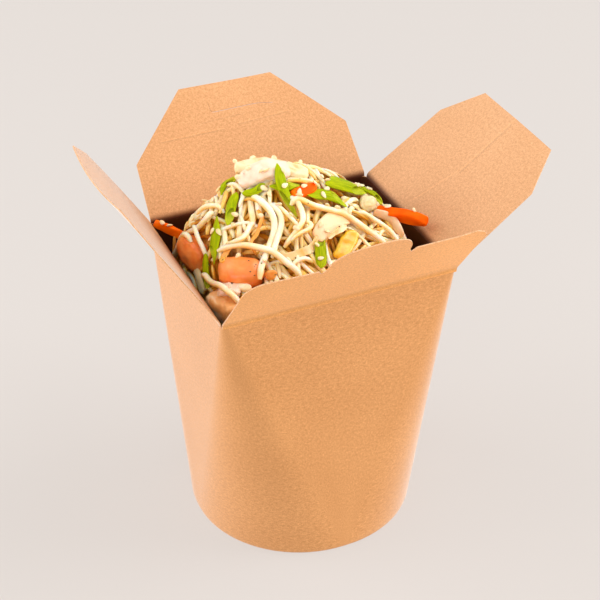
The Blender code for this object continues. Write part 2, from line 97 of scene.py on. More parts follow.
ROOM_STRENGTH = 0.57
SOFT_BOXES = [  # direction turned from the front, rise, distance, size, power
    ("light_right", 66.0, 8.0, 1.4, 1.0, 15.0),
    ("light_right_top", 78.0, 55.0, 1.5, 1.0, 12.0),
    ("light_left", -27.0, 14.0, 1.5, 1.2, 9.0),
    ("light_left_back", -118.0, 16.0, 1.3, 1.0, 14.0),
    ("light_left_top", -90.0, 60.0, 1.5, 1.0, 4.0),
]

room = bpy.data.worlds.new("white_room")
room.use_nodes = True
room.node_tree.nodes["Background"].inputs["Color"].default_value = (1.0, 1.0, 1.0, 1.0)
room.node_tree.nodes["Background"].inputs["Strength"].default_value = ROOM_STRENGTH
bpy.context.scene.world = room
for name, turn, rise, distance, size, power in SOFT_BOXES:
    turn, rise = math.radians(turn), math.radians(rise)
    lamp = bpy.data.lights.new(name, "AREA")
    lamp.shape = "SQUARE"
    lamp.size = size
    lamp.energy = power
    toward = Vector((math.sin(turn) * math.cos(rise), -math.cos(turn) * math.cos(rise), math.sin(rise)))
    holder = bpy.data.objects.new(name, lamp)
    holder.location = Vector(FOOT_CENTRE) + Vector((0, 0, CAMERA_AIM)) + toward * distance
    holder.rotation_euler = toward.to_track_quat("Z", "Y").to_euler()
    holder.visible_camera = False
    bpy.context.scene.collection.objects.link(holder)
bpy.context.scene.view_settings.view_transform = "Standard"


# ---------------------------------------------------------------------------------------------
# Floor: a plain pale table top, matt, just below the foot.

FLOOR_HALF = 3.0
FLOOR_COLOUR = (0.140, 0.130, 0.122, 1.0)
FLOOR_GLOW_COLOUR = (0.807, 0.745, 0.701, 1.0)
FLOOR_GLOW = 0.715


def put(tree, kind, inputs=None, **settings):
    """Adds a node; inputs maps a socket's name or number to a value or to another output."""
    made = tree.nodes.new(kind)
    for key, value in settings.items():
        setattr(made, key, value)
    for key, value in (inputs or {}).items():
        if isinstance(value, bpy.types.NodeSocket):
            tree.links.new(value, made.inputs[key])
        else:
            made.inputs[key].default_value = value
    return made


def new_finish(name, **sockets):
    """A material with a Principled shader; sockets are its constants, with _ for a space."""
    finish = bpy.data.materials.new(name)
    finish.use_nodes = True
    shader = finish.node_tree.nodes["Principled BSDF"]
    for key, value in sockets.items():
        shader.inputs[key.replace("_", " ")].default_value = value
    return finish, finish.node_tree, shader


floor_finish, tree, shader = new_finish("lit_table_top", Roughness=0.9, Emission_Strength=FLOOR_GLOW,
                                        Emission_Color=FLOOR_GLOW_COLOUR)
mottle = put(tree, "ShaderNodeTexNoise", {"Scale": 6.0, "Detail": 3.0})
tint = put(tree, "ShaderNodeMix", {"Factor": mottle.outputs["Fac"], 6: FLOOR_COLOUR,
                                   7: tuple(c * 1.01 for c in FLOOR_COLOUR)}, data_type="RGBA")
tree.links.new(tint.outputs[2], shader.inputs["Base Color"])
floor_mesh = bpy.data.meshes.new("floor")
floor_mesh.from_pydata([(-FLOOR_HALF, -FLOOR_HALF, 0), (FLOOR_HALF, -FLOOR_HALF, 0),
                        (FLOOR_HALF, FLOOR_HALF, 0), (-FLOOR_HALF, FLOOR_HALF, 0)],
                       [], [(0, 1, 2, 3)])
floor_mesh.materials.append(floor_finish)
floor = bpy.data.objects.new("floor", floor_mesh)
bpy.context.scene.collection.objects.link(floor)


# ---------------------------------------------------------------------------------------------
# Carton wall: one sheet of brown kraft paperboard, wrapped from a round foot to a square mouth
# and turned in at the lower edge as a hem. Matt paper with fine fibres; its cut edges are paler.

FOOT_RADIUS = 0.0440
FOOT_CORNER = 0.0430
MOUTH_HALF_WIDTH = 0.0460
MOUTH_HALF_DEPTH = 0.03845
MOUTH_CORNER = 0.0020
BOARD = 0.00045
GAP = 0.0003
HEM_HEIGHT = 0.0060
BEND = 0.0014                   # reach of a crease's rounded bend on either side of its axis
CREASE_HEIGHT = frame["joints"][0]["pos_m"][2]
ARC_STEPS = 20
FLAT_STEPS = 22
KRAFT = (0.625, 0.278, 0.086, 1.0)
# Painted glare: the side flaps' colour is a paler, whiter copy of the wall's kraft.
KRAFT_PAINTED_GLARE = (0.655, 0.335, 0.150, 1.0)
# Painted light: the back flap's colour is a lit copy of the wall's kraft.
KRAFT_BACK_PAINTED_LIGHT = (0.650, 0.312, 0.120, 1.0)
# Painted light: the front flap's colour is a brighter copy of the wall's kraft, standing in for light from
# below.
KRAFT_FRONT_PAINTED_LIGHT = (0.820, 0.362, 0.096, 1.0)
KRAFT_CUT = (0.680, 0.370, 0.180, 1.0)
# Painted shade on the carton's inner side: a dark colour, darkest below the crease.
KRAFT_DEEPEST_PAINTED_SHADE = (0.060, 0.010, 0.001, 1.0)
KRAFT_INSIDE_PAINTED_SHADE = (0.090, 0.022, 0.003, 1.0)
PAINTED_SHADE_REACH = 0.0045             # how far below the crease the inner side's painted shade reaches its darkest


def paper_group():
    """Kraft paper: from a place in metres, the colour with its mottling, fibres and flecks, and a height."""
    group = bpy.data.node_groups.new("kraft_paper", "ShaderNodeTree")
    group.interface.new_socket("Place", in_out="INPUT", socket_type="NodeSocketVector")
    group.interface.new_socket("Paper", in_out="INPUT", socket_type="NodeSocketColor")
    group.interface.new_socket("Colour", in_out="OUTPUT", socket_type="NodeSocketColor")
    group.interface.new_socket("Height", in_out="OUTPUT", socket_type="NodeSocketFloat")
    start = put(group, "NodeGroupInput")
    place = start.outputs["Place"]
    cloud = put(group, "ShaderNodeTexNoise", {"Vector": place, "Scale": 38.0, "Detail": 3.0})
    mottle = put(group, "ShaderNodeTexNoise", {"Vector": place, "Scale": 900.0, "Detail": 4.0,
                                               "Roughness": 0.65})
    across = put(group, "ShaderNodeMapping", {"Vector": place, "Scale": (1300.0, 4200.0, 1.0),
                                              "Rotation": (0, 0, 0.2)})
    along = put(group, "ShaderNodeMapping", {"Vector": place, "Scale": (4200.0, 1300.0, 1.0),
                                             "Rotation": (0, 0, -0.35)})
    fibre_across = put(group, "ShaderNodeTexNoise", {"Vector": across.outputs[0], "Scale": 1.0,
                                                     "Detail": 2.0})
    fibre_along = put(group, "ShaderNodeTexNoise", {"Vector": along.outputs[0], "Scale": 1.0,
                                                    "Detail": 2.0})
    fibres = put(group, "ShaderNodeMath", {0: fibre_across.outputs["Fac"],
                                           1: fibre_along.outputs["Fac"]}, operation="ADD")
    shade_cloud = put(group, "ShaderNodeMapRange", {0: cloud.outputs["Fac"], 1: 0.3, 2: 0.7,
                                                    3: 0.95, 4: 1.05})
    shade_mottle = put(group, "ShaderNodeMapRange", {0: mottle.outputs["Fac"], 1: 0.3, 2: 0.7,
                                                     3: 0.82, 4: 1.18})
    shade_fibres = put(group, "ShaderNodeMapRange", {0: fibres.outputs[0], 1: 0.7, 2: 1.3,
                                                     3: 0.76, 4: 1.24})
    fleck = put(group, "ShaderNodeTexNoise", {"Vector": place, "Scale": 1100.0, "Detail": 1.0})
    dark_fleck = put(group, "ShaderNodeMapRange", {0: fleck.outputs["Fac"], 1: 0.64, 2: 0.74,
                                                   3: 1.0, 4: 0.84})
    shade_fleck = put(group, "ShaderNodeMapRange", {0: fleck.outputs["Fac"], 1: 0.26, 2: 0.34,
                                                    3: 1.12, 4: 1.0})
    both_flecks = put(group, "ShaderNodeMath", {0: dark_fleck.outputs[0], 1: shade_fleck.outputs[0]},
                      operation="MULTIPLY")
    first = put(group, "ShaderNodeMath", {0: shade_cloud.outputs[0], 1: shade_mottle.outputs[0]},
                operation="MULTIPLY")
    second = put(group, "ShaderNodeMath", {0: first.outputs[0], 1: shade_fibres.outputs[0]},
                 operation="MULTIPLY")
    third = put(group, "ShaderNodeMath", {0: second.outputs[0], 1: both_flecks.outputs[0]},
                operation="MULTIPLY")
    tinted = put(group, "ShaderNodeMapRange", {6: third.outputs[0], 7: (0.7,) * 3, 8: (1.3,) * 3,
                                               9: (0.80, 0.73, 0.58), 10: (1.20, 1.27, 1.42)},
                 data_type="FLOAT_VECTOR", clamp=False)
    colour = put(group, "ShaderNodeMix", {0: 1.0, 6: start.outputs["Paper"], 7: tinted.outputs[1]},
                 data_type="RGBA", blend_type="MULTIPLY")
    put(group, "NodeGroupOutput", {"Colour": colour.outputs[2], "Height": second.outputs[0]})
    return group


def line_group():
    """A mask for painted shade or light along a line: 1 near the straight line from one end to the other, 0
    away from it.
    """
    group = bpy.data.node_groups.new("painted_shading_line", "ShaderNodeTree")
    for name, kind in (("Place", "Vector"), ("From", "Vector"), ("To", "Vector"), ("Width", "Float")):
        group.interface.new_socket(name, in_out="INPUT", socket_type="NodeSocket" + kind)
    group.interface.new_socket("Mask", in_out="OUTPUT", socket_type="NodeSocketFloat")
    start = put(group, "NodeGroupInput")
    reach = put(group, "ShaderNodeVectorMath", {0: start.outputs["To"], 1: start.outputs["From"]},
                operation="SUBTRACT")
    offset = put(group, "ShaderNodeVectorMath", {0: start.outputs["Place"], 1: start.outputs["From"]},
                 operation="SUBTRACT")
    dot = put(group, "ShaderNodeVectorMath", {0: offset.outputs[0], 1: reach.outputs[0]},
              operation="DOT_PRODUCT")
    square = put(group, "ShaderNodeVectorMath", {0: reach.outputs[0], 1: reach.outputs[0]},
                 operation="DOT_PRODUCT")
    share = put(group, "ShaderNodeMath", {0: dot.outputs["Value"], 1: square.outputs["Value"]},
                operation="DIVIDE", use_clamp=True)
    nearest = put(group, "ShaderNodeVectorMath", {0: reach.outputs[0], 3: share.outputs[0]},
                  operation="SCALE")
    distance = put(group, "ShaderNodeVectorMath", {0: offset.outputs[0], 1: nearest.outputs[0]},
                   operation="DISTANCE")
    relative = put(group, "ShaderNodeMath", {0: distance.outputs["Value"], 1: start.outputs["Width"]},
                   operation="DIVIDE")
    mask = put(group, "ShaderNodeMapRange", {0: relative.outputs[0], 1: 0.0, 2: 1.0, 3: 1.0, 4: 0.0},
               interpolation_type="SMOOTHSTEP")
    put(group, "NodeGroupOutput", {"Mask": mask.outputs[0]})
    return group


kraft_paper = paper_group()
painted_shading_line = line_group()


def kraft_finish(name, paper=KRAFT, painted_lines=(), sheen=0.70):
    """Kraft board; each line paints shade or light on the sheet: its two ends in metres on the sheet, its
    width and its painted shade or tint.
    """
    finish, tree, shader = new_finish(name, Roughness=0.55, Specular_IOR_Level=0.45,
                                      Sheen_Weight=sheen, Sheen_Roughness=0.35)
    sheet = put(tree, "ShaderNodeUVMap", uv_map="sheet")
    paper_node = put(tree, "ShaderNodeGroup", node_tree=kraft_paper)
    tree.links.new(sheet.outputs[0], paper_node.inputs["Place"])
    paper_node.inputs["Paper"].default_value = paper
    colour, height = paper_node.outputs["Colour"], paper_node.outputs["Height"]
    for from_end, to_end, width, shade in painted_lines:
        line = put(tree, "ShaderNodeGroup", node_tree=painted_shading_line)
        tree.links.new(sheet.outputs[0], line.inputs["Place"])
        line.inputs["From"].default_value = (*from_end, 0.0)
        line.inputs["To"].default_value = (*to_end, 0.0)
        line.inputs["Width"].default_value = width
        tone = put(tree, "ShaderNodeMix", {0: line.outputs[0], 6: (1.0, 1.0, 1.0, 1.0),
                                           7: (*np.broadcast_to(shade, 3), 1.0)}, data_type="RGBA")
        colour = put(tree, "ShaderNodeMix", {0: 1.0, 6: colour, 7: tone.outputs[2]},
                     data_type="RGBA", blend_type="MULTIPLY").outputs[2]
    bump = put(tree, "ShaderNodeBump", {"Height": height, "Strength": 0.18, "Distance": 0.0003})
    tree.links.new(colour, shader.inputs["Base Color"])
    tree.links.new(bump.outputs[0], shader.inputs["Normal"])
    return finish


board_finish = kraft_finish("kraft_board")
edge_finish = kraft_finish("kraft_cut_edge", KRAFT_CUT)


def painted_shade_inside_finish():
    """The inner side: the board's texture on a dark colour as painted shade, darker and more orange the
    further down it lies.
    """
    finish = kraft_finish("kraft_inside_painted_shade", KRAFT_INSIDE_PAINTED_SHADE, sheen=0.0)
    tree = finish.node_tree
    base = tree.nodes["Principled BSDF"].inputs["Base Color"]
    sheet = put(tree, "ShaderNodeUVMap", uv_map="sheet")
    place = put(tree, "ShaderNodeSeparateXYZ", {"Vector": sheet.outputs[0]})
    above = put(tree, "ShaderNodeMapRange", {0: place.outputs["Y"], 1: CREASE_HEIGHT - PAINTED_SHADE_REACH,
                                             2: CREASE_HEIGHT, 3: 0.0, 4: 1.0})
    eased = put(tree, "ShaderNodeMath", {0: above.outputs[0], 1: 2.0}, operation="POWER")
    # Painted shade: below the crease the colour fades to the darkest painted shade.
    tone = put(tree, "ShaderNodeMix", {0: eased.outputs[0], 6: KRAFT_DEEPEST_PAINTED_SHADE,
                                       7: base.links[0].from_socket}, data_type="RGBA")
    tree.links.new(tone.outputs[2], base)
    return finish


inside_finish = painted_shade_inside_finish()


def add_piece(name, points, faces, finishes, edge_faces=None, corner_uv=None):
    """A mesh piece from points round the foot's centre; edge_faces marks those in the second finish."""
    mesh = bpy.data.meshes.new(name)
    mesh.from_pydata((np.asarray(points).reshape(-1, 3) + FOOT_CENTRE).tolist(), [], faces)
    for finish in finishes:
        mesh.materials.append(finish)
    if edge_faces is not None:
        mesh.polygons.foreach_set("material_index", np.asarray(edge_faces, np.int32))
    if corner_uv is not None:
        mesh.uv_layers.new(name="sheet").data.foreach_set("uv", np.ravel(corner_uv).astype(np.float32))
    mesh.shade_smooth()
    mesh.set_sharp_from_angle(angle=math.radians(40))
    mesh.update()
    made = bpy.data.objects.new(name, mesh)
    bpy.context.scene.collection.objects.link(made)
    return made


def cross_section(height, inset):
    """Half width, half depth and corner radius at a height, changing evenly from foot to mouth."""
    rise = height / CREASE_HEIGHT
    half_x = FOOT_RADIUS + rise * (MOUTH_HALF_WIDTH - FOOT_RADIUS) - inset
    half_y = FOOT_RADIUS + rise * (MOUTH_HALF_DEPTH - FOOT_RADIUS) - inset
    return half_x, half_y, np.maximum(FOOT_CORNER + rise * (MOUTH_CORNER - FOOT_CORNER) - inset, GAP)


def outline(height, inset):
    """Rings round the carton, one for each height and inset: straight sides joined by four arcs."""
    height, inset = np.atleast_1d(height)[:, None], np.atleast_1d(inset)[:, None]
    half_x, half_y, radius = cross_section(height, inset)
    arcs = []
    for corner in range(4):
        angle = (corner + np.linspace(0.0, 1.0, ARC_STEPS + 1)) * math.pi / 2
        middle = (corner + 0.5) * math.pi / 2
        centre_x = np.sign(math.cos(middle)) * (half_x - radius)
        centre_y = np.sign(math.sin(middle)) * (half_y - radius)
        arcs.append(np.stack([centre_x + radius * np.cos(angle),
                              centre_y + radius * np.sin(angle)], -1))
    share = np.linspace(0.0, 1.0, FLAT_STEPS + 1)[1:-1, None]
    ring = []
    for corner, arc in enumerate(arcs):
        start, end = arc[:, -1:], arcs[(corner + 1) % 4][:, :1]
        ring += [arc, start + (end - start) * share]
    ring = np.concatenate(ring, 1)
    return np.concatenate([ring, np.broadcast_to(height[..., None], ring.shape[:2] + (1,))], -1)


def ring_faces(rows, columns, loop):
    """Quads between neighbouring closed rings; with loop the last ring joins the first."""
    row = np.arange(rows if loop else rows - 1)[:, None]
    column = np.arange(columns)[None, :]
    after, beside = (row + 1) % rows, (column + 1) % columns
    quads = np.stack([row * columns + column, row * columns + beside,
                      after * columns + beside, after * columns + column], -1)
    return quads.reshape(-1, 4)


def ring_uv(across, up, loop):
    """Corner places on the sheet for ring_faces: across has one value more than the ring has points."""
    up = np.append(up, up[-1]) if loop else up
    a, b = np.meshgrid(across, up)
    return np.stack([np.stack([a[:-1, :-1], b[:-1, :-1]], -1), np.stack([a[:-1, 1:], b[:-1, 1:]], -1),
                     np.stack([a[1:, 1:], b[1:, 1:]], -1), np.stack([a[1:, :-1], b[1:, :-1]], -1)], -2)


wall_top = CREASE_HEIGHT - BEND
slot_inner = 2 * BOARD + 2 * GAP
hem_inner = slot_inner + BOARD
rising = np.linspace(0.0006, wall_top, 60)
falling = np.linspace(wall_top, 0.0012, 40)
heights = np.concatenate([[0.0, 0.0, 0.0002], rising, falling, [BOARD, BOARD, 0.0012, HEM_HEIGHT,
                                                              HEM_HEIGHT, 0.0006, 0.0002]])
insets = np.concatenate([[0.0012, 0.0003, 0.0001], 0 * rising, 0 * falling + BOARD,
                         [BOARD + GAP / 2, slot_inner, slot_inner, slot_inner, hem_inner, hem_inner,
                          hem_inner - 0.0001]])
wall_rings = outline(heights, insets)
middle_ring = outline(CREASE_HEIGHT / 2, 0.0)[0]
steps = np.linalg.norm(np.roll(middle_ring, -1, 0) - middle_ring, axis=1)
across = np.concatenate([[0.0], np.cumsum(steps)])
faces = ring_faces(len(heights), len(middle_ring), loop=True)
# The inner faces take the inside finish and its painted shade.
inside = np.repeat(np.arange(len(heights)) >= 3 + len(rising), len(middle_ring))
wall = add_piece("carton_wall_board", wall_rings, faces.tolist(), [board_finish, inside_finish], inside,
                 ring_uv(across, heights, loop=True))
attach(wall, "carton")
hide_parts("carton_wall")


# ---------------------------------------------------------------------------------------------
# Floor of the carton: a pan of the same board, its rim turned down and held between wall and hem.

def close_ends(rings):
    """Points and faces of a run of rings, closed by a fan round the middle of each end ring."""
    rows, columns = rings.shape[:2]
    faces = ring_faces(rows, columns, loop=False)
    flat = rings.reshape(-1, 3)
    count = len(flat)
    poles = np.array([rings[0].mean(0), rings[-1].mean(0)])
    column = np.arange(columns)
    beside = (column + 1) % columns
    first = np.stack([beside, column, np.full(columns, count)], -1)
    last = np.stack([count - columns + column, count - columns + beside,
                     np.full(columns, count + 1)], -1)
    return np.concatenate([flat, poles]), faces.tolist() + first.tolist() + last.tolist()


pan_inner = 2 * BOARD + GAP
pan_outer = BOARD + GAP
pan_heights = np.array([HEM_HEIGHT + GAP] * 10 + [BOARD + GAP] * 2 + [HEM_HEIGHT + GAP + BOARD] * 10)
pan_insets = np.array([pan_inner] * 11 + [pan_outer] * 11)
pan_share = np.concatenate([np.linspace(0.08, 1.0, 10), [1.0, 1.0], np.linspace(1.0, 0.08, 10)])
pan_rings = outline(pan_heights, pan_insets)
pan_rings[..., :2] *= pan_share[:, None, None]
pan_points, pan_faces = close_ends(pan_rings)
corner_points = pan_points[np.concatenate([np.asarray(f) for f in pan_faces])]
pan = add_piece("carton_floor_board", pan_points, pan_faces, [board_finish],
                corner_uv=corner_points[:, :2])
pan.data.flip_normals()
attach(pan, "carton")
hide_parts("carton_base")


# ---------------------------------------------------------------------------------------------
# Flaps: the wall's sheet carried on past a soft crease on each side of the mouth. Each sheet is
# a grid over its own flat cut, bent round the crease and thickened.

FLAPS = {joint["child"]: joint for joint in frame["joints"]}
BEND_ROWS = np.linspace(-BEND, BEND, 9)


def crease_frame(body, angle, turn):
    """Where a flap's crease is, and its directions: along it, out from the wall, up, down."""
    centre = np.array(FLAPS[body]["pos_m"]) - FOOT_CENTRE
    along = np.array([math.cos(turn), math.sin(turn), 0.0])
    out = np.array([-math.sin(turn), math.cos(turn), 0.0])
    up = out * math.sin(angle) + np.array([0, 0, math.cos(angle)])
    normal = out * math.cos(angle) - np.array([0, 0, math.sin(angle)])
    mouth_half = abs(centre @ out) + BOARD / 2
    down = out * (FOOT_RADIUS - mouth_half) / CREASE_HEIGHT - np.array([0, 0, 1.0])
    return centre, along, up, normal, down / np.linalg.norm(down)


def bent_sheet(directions, x, height, lift):
    """Places on a bent sheet: x along the crease, height up from it, lift along the flap's normal.

    Round the crease the sheet follows a parabola that leaves the wall and the flap smoothly.
    """
    centre, along, up, normal, down = directions
    share = np.clip((height + BEND) / (2 * BEND), 0.0, 1.0)[..., None]
    bend = BEND * ((1 - share) ** 2 * down + share ** 2 * up)
    beyond = np.maximum(height - BEND, 0.0)[..., None] * up
    return centre + x[..., None] * along + bend + beyond + lift[..., None] * normal


def board_shell(name, middle, place, keep, outward, finishes):
    """Thickens a grid, the middle of a sheet of board, into a closed shell with its cut edges.

    middle is rows by columns of points, place the flat place of each in metres, and keep says
    which cells between them are board: an edge of a cell that no other cell shares is a cut.
    The finishes are those of the faces, of the cuts, and of the inner face if it has its own.
    """
    rows, columns = middle.shape[:2]
    normal = np.cross(np.gradient(middle, axis=1), np.gradient(middle, axis=0))
    normal /= np.linalg.norm(normal, axis=-1, keepdims=True)
    if (normal.reshape(-1, 3) @ outward).mean() < 0:
        normal = -normal
    outer, inner = middle + normal * BOARD / 2, middle - normal * BOARD / 2
    index = np.arange(rows * columns).reshape(rows, columns)
    cells = np.stack([index[:-1, :-1], index[:-1, 1:], index[1:, 1:], index[1:, :-1]], -1)[keep]
    facing = np.cross(outer[0, 1] - outer[0, 0], outer[1, 0] - outer[0, 0]) @ normal[0, 0]
    cells = cells if facing > 0 else cells[:, ::-1]
    count = rows * columns
    edges = np.stack([cells, np.roll(cells, -1, axis=1)], -1).reshape(-1, 2)
    forward = edges[:, 0] * count + edges[:, 1]
    cut = edges[~np.isin(forward, edges[:, 1] * count + edges[:, 0])]
    rims = np.stack([cut[:, 1], cut[:, 0], cut[:, 0] + count, cut[:, 1] + count], -1)
    faces = np.concatenate([cells, cells[:, ::-1] + count, rims])
    kinds = np.repeat([0, 2 if len(finishes) > 2 else 0, 1], [len(cells), len(cells), len(rims)])
    flat = np.concatenate([place.reshape(-1, 2)] * 2)
    points = np.concatenate([outer.reshape(-1, 3), inner.reshape(-1, 3)])
    return add_piece(name, points, faces.tolist(), finishes, kinds, flat[faces])


def hang_flap(piece, body):
    """Bakes a flap's placing into its mesh and hides the imported flap that it stands in for."""
    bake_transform(piece)
    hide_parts(body)


# Back flap: cut-off corners, and a closed slit for the front flap's tongue.
BACK_ANGLE = math.radians(46.8)
BACK_EDGE = [(0.0451, 0.0), (0.0442, 0.0225), (0.0195, 0.0487)]   # half width at each height
SLIT_HEIGHT = 0.0372
SLIT_ENDS = (-0.0112, 0.0168)
SLIT_GAP = 0.00022


# Painted shade along a flap's inner face at its crease: a line with its width and its tint.
PAINTED_CREASE_SHADE = ((-0.046, -0.0013), (0.046, -0.0013), 0.0034, (0.13, 0.045, 0.02))


def slit_level(x):
    """Height of the slit: level, hooked up at its left end and a little down at its right end."""
    hook_up = 0.0045 * np.exp(-((x - SLIT_ENDS[0]) / 0.0014) ** 2) * (x < SLIT_ENDS[0] + 0.004)
    hook_down = -0.0012 * np.exp(-((x - SLIT_ENDS[1]) / 0.0040) ** 2)
    return SLIT_HEIGHT + 0.02 * (x - 0.0027) * (abs(x) < 0.03) + hook_up + hook_down


def edge_width(edge, height):
    """Half width of a flap at a height, straight between the corners of its cut."""
    return np.interp(height, [h for _, h in edge], [w for w, _ in edge])


def back_flap():
    """Rows rise to the slit, then from the slit to the top edge."""
    directions = crease_frame("flap_back", BACK_ANGLE, 0.0)
    u = np.linspace(-1.0, 1.0, 141)
    middle_x = u * edge_width(BACK_EDGE, SLIT_HEIGHT)
    slit = slit_level(middle_x)
    shoulder = (BACK_EDGE[1][1] - BEND) / (SLIT_HEIGHT - BEND)
    rise = np.concatenate([np.linspace(0, shoulder, 22)[1:], np.linspace(shoulder, 1, 18)[1:]])
    lower = BEND + rise[:, None] * (slit - SLIT_GAP / 2 - BEND)
    top = BACK_EDGE[2][1]
    upper = (slit + SLIT_GAP / 2) + np.linspace(0, 1, 14)[:, None] * (top - slit - SLIT_GAP / 2)
    height = np.concatenate([np.repeat(BEND_ROWS[:, None], len(u), 1), lower, upper])
    x = u * edge_width(BACK_EDGE, height)
    lift = 0.0005 * (np.sin(x / 0.011 + 0.6) - 1.0) * np.clip(height / top, 0, 1) ** 2
    row = len(BEND_ROWS) + len(lower) - 1
    keep = np.ones((len(height) - 1, len(u) - 1), bool)
    cut = (middle_x[:-1] > SLIT_ENDS[0]) & (middle_x[1:] < SLIT_ENDS[1])
    keep[row, cut] = False
    # Painted shade and highlight along the flap's creases: two creases as a darker line with a lighter one
    # beside it, and one darker line alone.
    painted_crease_shading = [((-0.032, 0.0290), (-0.006, 0.0292), 0.0005, 0.88),
               ((-0.032, 0.0296), (-0.006, 0.0298), 0.0004, 1.12),
               ((0.000, 0.0302), (0.022, 0.0312), 0.0005, 0.90),
               ((0.000, 0.0308), (0.022, 0.0318), 0.0004, 1.10),
               ((-0.014, 0.0334), (0.004, 0.0342), 0.0004, 0.90)]
    finish = kraft_finish("kraft_back_flap", KRAFT_BACK_PAINTED_LIGHT, painted_lines=painted_crease_shading)
    inner_finish = kraft_finish("kraft_back_flap_inside", KRAFT_BACK_PAINTED_LIGHT, painted_lines=painted_crease_shading + [PAINTED_CREASE_SHADE])
    piece = board_shell("flap_back_board", bent_sheet(directions, x, height, lift),
                        np.stack([x, height], -1), keep, directions[3],
                        [finish, edge_finish, inner_finish])
    hang_flap(piece, "flap_back")


back_flap()

# Side flaps: tall tapered ends. The right one has a pressed middle crease towards the inside, the
# left one is bowed outwards, and cut a little higher at the back.
LEFT_ANGLE = math.radians(32.0)
RIGHT_ANGLE = math.radians(54.8)
SIDE_EDGE = [(0.0370, 0.0), (0.0356, 0.0384), (0.0249, 0.0551)]
SIDE_TOP = SIDE_EDGE[2][1]
RIGHT_RIDGE = 0.028
LEFT_BOW = 0.00187
LEFT_TWIST = (0.0003, 0.0014)
LEFT_SLANT = 0.0040


def right_bulge(u, height):
    """A soft ridge along the middle, standing in by a share of the height, and slight waves."""
    ridge = 1 - np.sqrt(u ** 2 + 0.0009)
    wave = 0.0003 * (np.sin(u * 3.0 + height / 0.02) - 1.0) * np.clip(height / SIDE_TOP, 0, 1)
    return -RIGHT_RIDGE * np.maximum(height - BEND, 0) * ridge + wave


def left_bulge(u, height):
    """A bow that grows with the square of the height, and stands out most at the back."""
    front, back = LEFT_TWIST
    corner = front + (back - front) * (1 + u) / 2
    share = np.clip(height / SIDE_TOP, 0, 1)
    wave = 0.0004 * (np.sin(u * 4.0 + height / 0.015) - 1.0) * (1 - share)
    return (corner + LEFT_BOW * (1 - u * u) + wave) * share ** 2


def side_flap(body, angle, turn, bulge, slant, finishes):
    """Half widths follow the cut; slant is how much higher the cut-off corner starts at one end."""
    directions = crease_frame(body, angle, turn)
    u = np.linspace(-1.0, 1.0, 101)
    shoulder = SIDE_EDGE[1][1]
    rows = np.concatenate([BEND_ROWS, np.linspace(BEND, shoulder, 40)[1:],
                           np.linspace(shoulder, SIDE_TOP, 16)[1:]])
    height = np.repeat(rows[:, None], len(u), 1)
    x = u * edge_width(SIDE_EDGE, height)
    raised = np.interp(height, [BEND, shoulder, SIDE_TOP], [0.0, slant, 0.0]) * (1 + u) / 2
    keep = np.ones((len(rows) - 1, len(u) - 1), bool)
    piece = board_shell(body + "_board", bent_sheet(directions, x, height + raised, bulge(u, height)),
                        np.stack([x, height], -1), keep, directions[3], finishes)
    hang_flap(piece, body)


def left_inside_finish():
    """Painted shade along the crease, a narrow dark line and a wide brown tint, where the sheen is faded out
    as well; pale painted glare and full sheen further up.
    """
    finish = kraft_finish("kraft_left_flap_inside", KRAFT_PAINTED_GLARE, painted_lines=[
        PAINTED_CREASE_SHADE, ((-0.045, 0.0), (0.012, 0.0), 0.0160, (0.62, 0.42, 0.26))])
    tree = finish.node_tree
    sheet = put(tree, "ShaderNodeUVMap", uv_map="sheet")
    place = put(tree, "ShaderNodeSeparateXYZ", {"Vector": sheet.outputs[0]})
    for socket, full in (("Sheen Weight", 0.9), ("Specular IOR Level", 0.45)):
        fading = put(tree, "ShaderNodeMapRange", {0: place.outputs["Y"], 1: 0.002, 2: 0.024,
                                                  3: 0.02, 4: full})
        tree.links.new(fading.outputs[0], tree.nodes["Principled BSDF"].inputs[socket])
    return finish


side_flap("flap_left", LEFT_ANGLE, math.pi / 2, left_bulge, LEFT_SLANT, [
    kraft_finish("kraft_left_flap", KRAFT_PAINTED_GLARE, sheen=0.9), edge_finish, left_inside_finish()])
# Painted light along the right flap's ridge: a lighter line on the ridge, a darker one beside it, and a
# lighter streak lower down.
ridge = [((0.0, 0.030), (0.0, 0.0551), 0.0006, 1.12), ((0.0010, 0.026), (0.0010, 0.052), 0.0008, 0.88),
         ((-0.006, 0.006), (0.001, 0.032), 0.0004, 1.16)]
side_flap("flap_right", RIGHT_ANGLE, -math.pi / 2, right_bulge, 0.0, [
    kraft_finish("kraft_right_flap", KRAFT_PAINTED_GLARE, painted_lines=ridge), edge_finish,
    kraft_finish("kraft_right_flap_inside", KRAFT_PAINTED_GLARE, painted_lines=ridge + [PAINTED_CREASE_SHADE])])

# Front flap: a tongue between a rounded shoulder and an ear that is pulled out sideways.
FRONT_ANGLE = math.radians(35.0)
FRONT_HALF_WIDTH = 0.0458
FRONT_SHOULDER = (0.0435, 0.0313)
FRONT_CORNER = 0.0075
FRONT_EAR = [(-0.0360, 0.0313), (-0.0430, 0.0326), (-0.0466, 0.0305), (-0.0478, 0.0283)]
TONGUE_HALF_WIDTH = 0.0155
TONGUE_SHIFT = 0.0014
TONGUE_TOP = 0.0438
TONGUE_FULLNESS = 2.6
NOTCH_WIDTH = 0.0030
NOTCH_DEPTH = 0.0026


def squarer(turned, power):
    """A sine or cosine raised to a power with its sign kept: it makes an ellipse a superellipse."""
    return np.sign(turned) * np.abs(turned) ** power


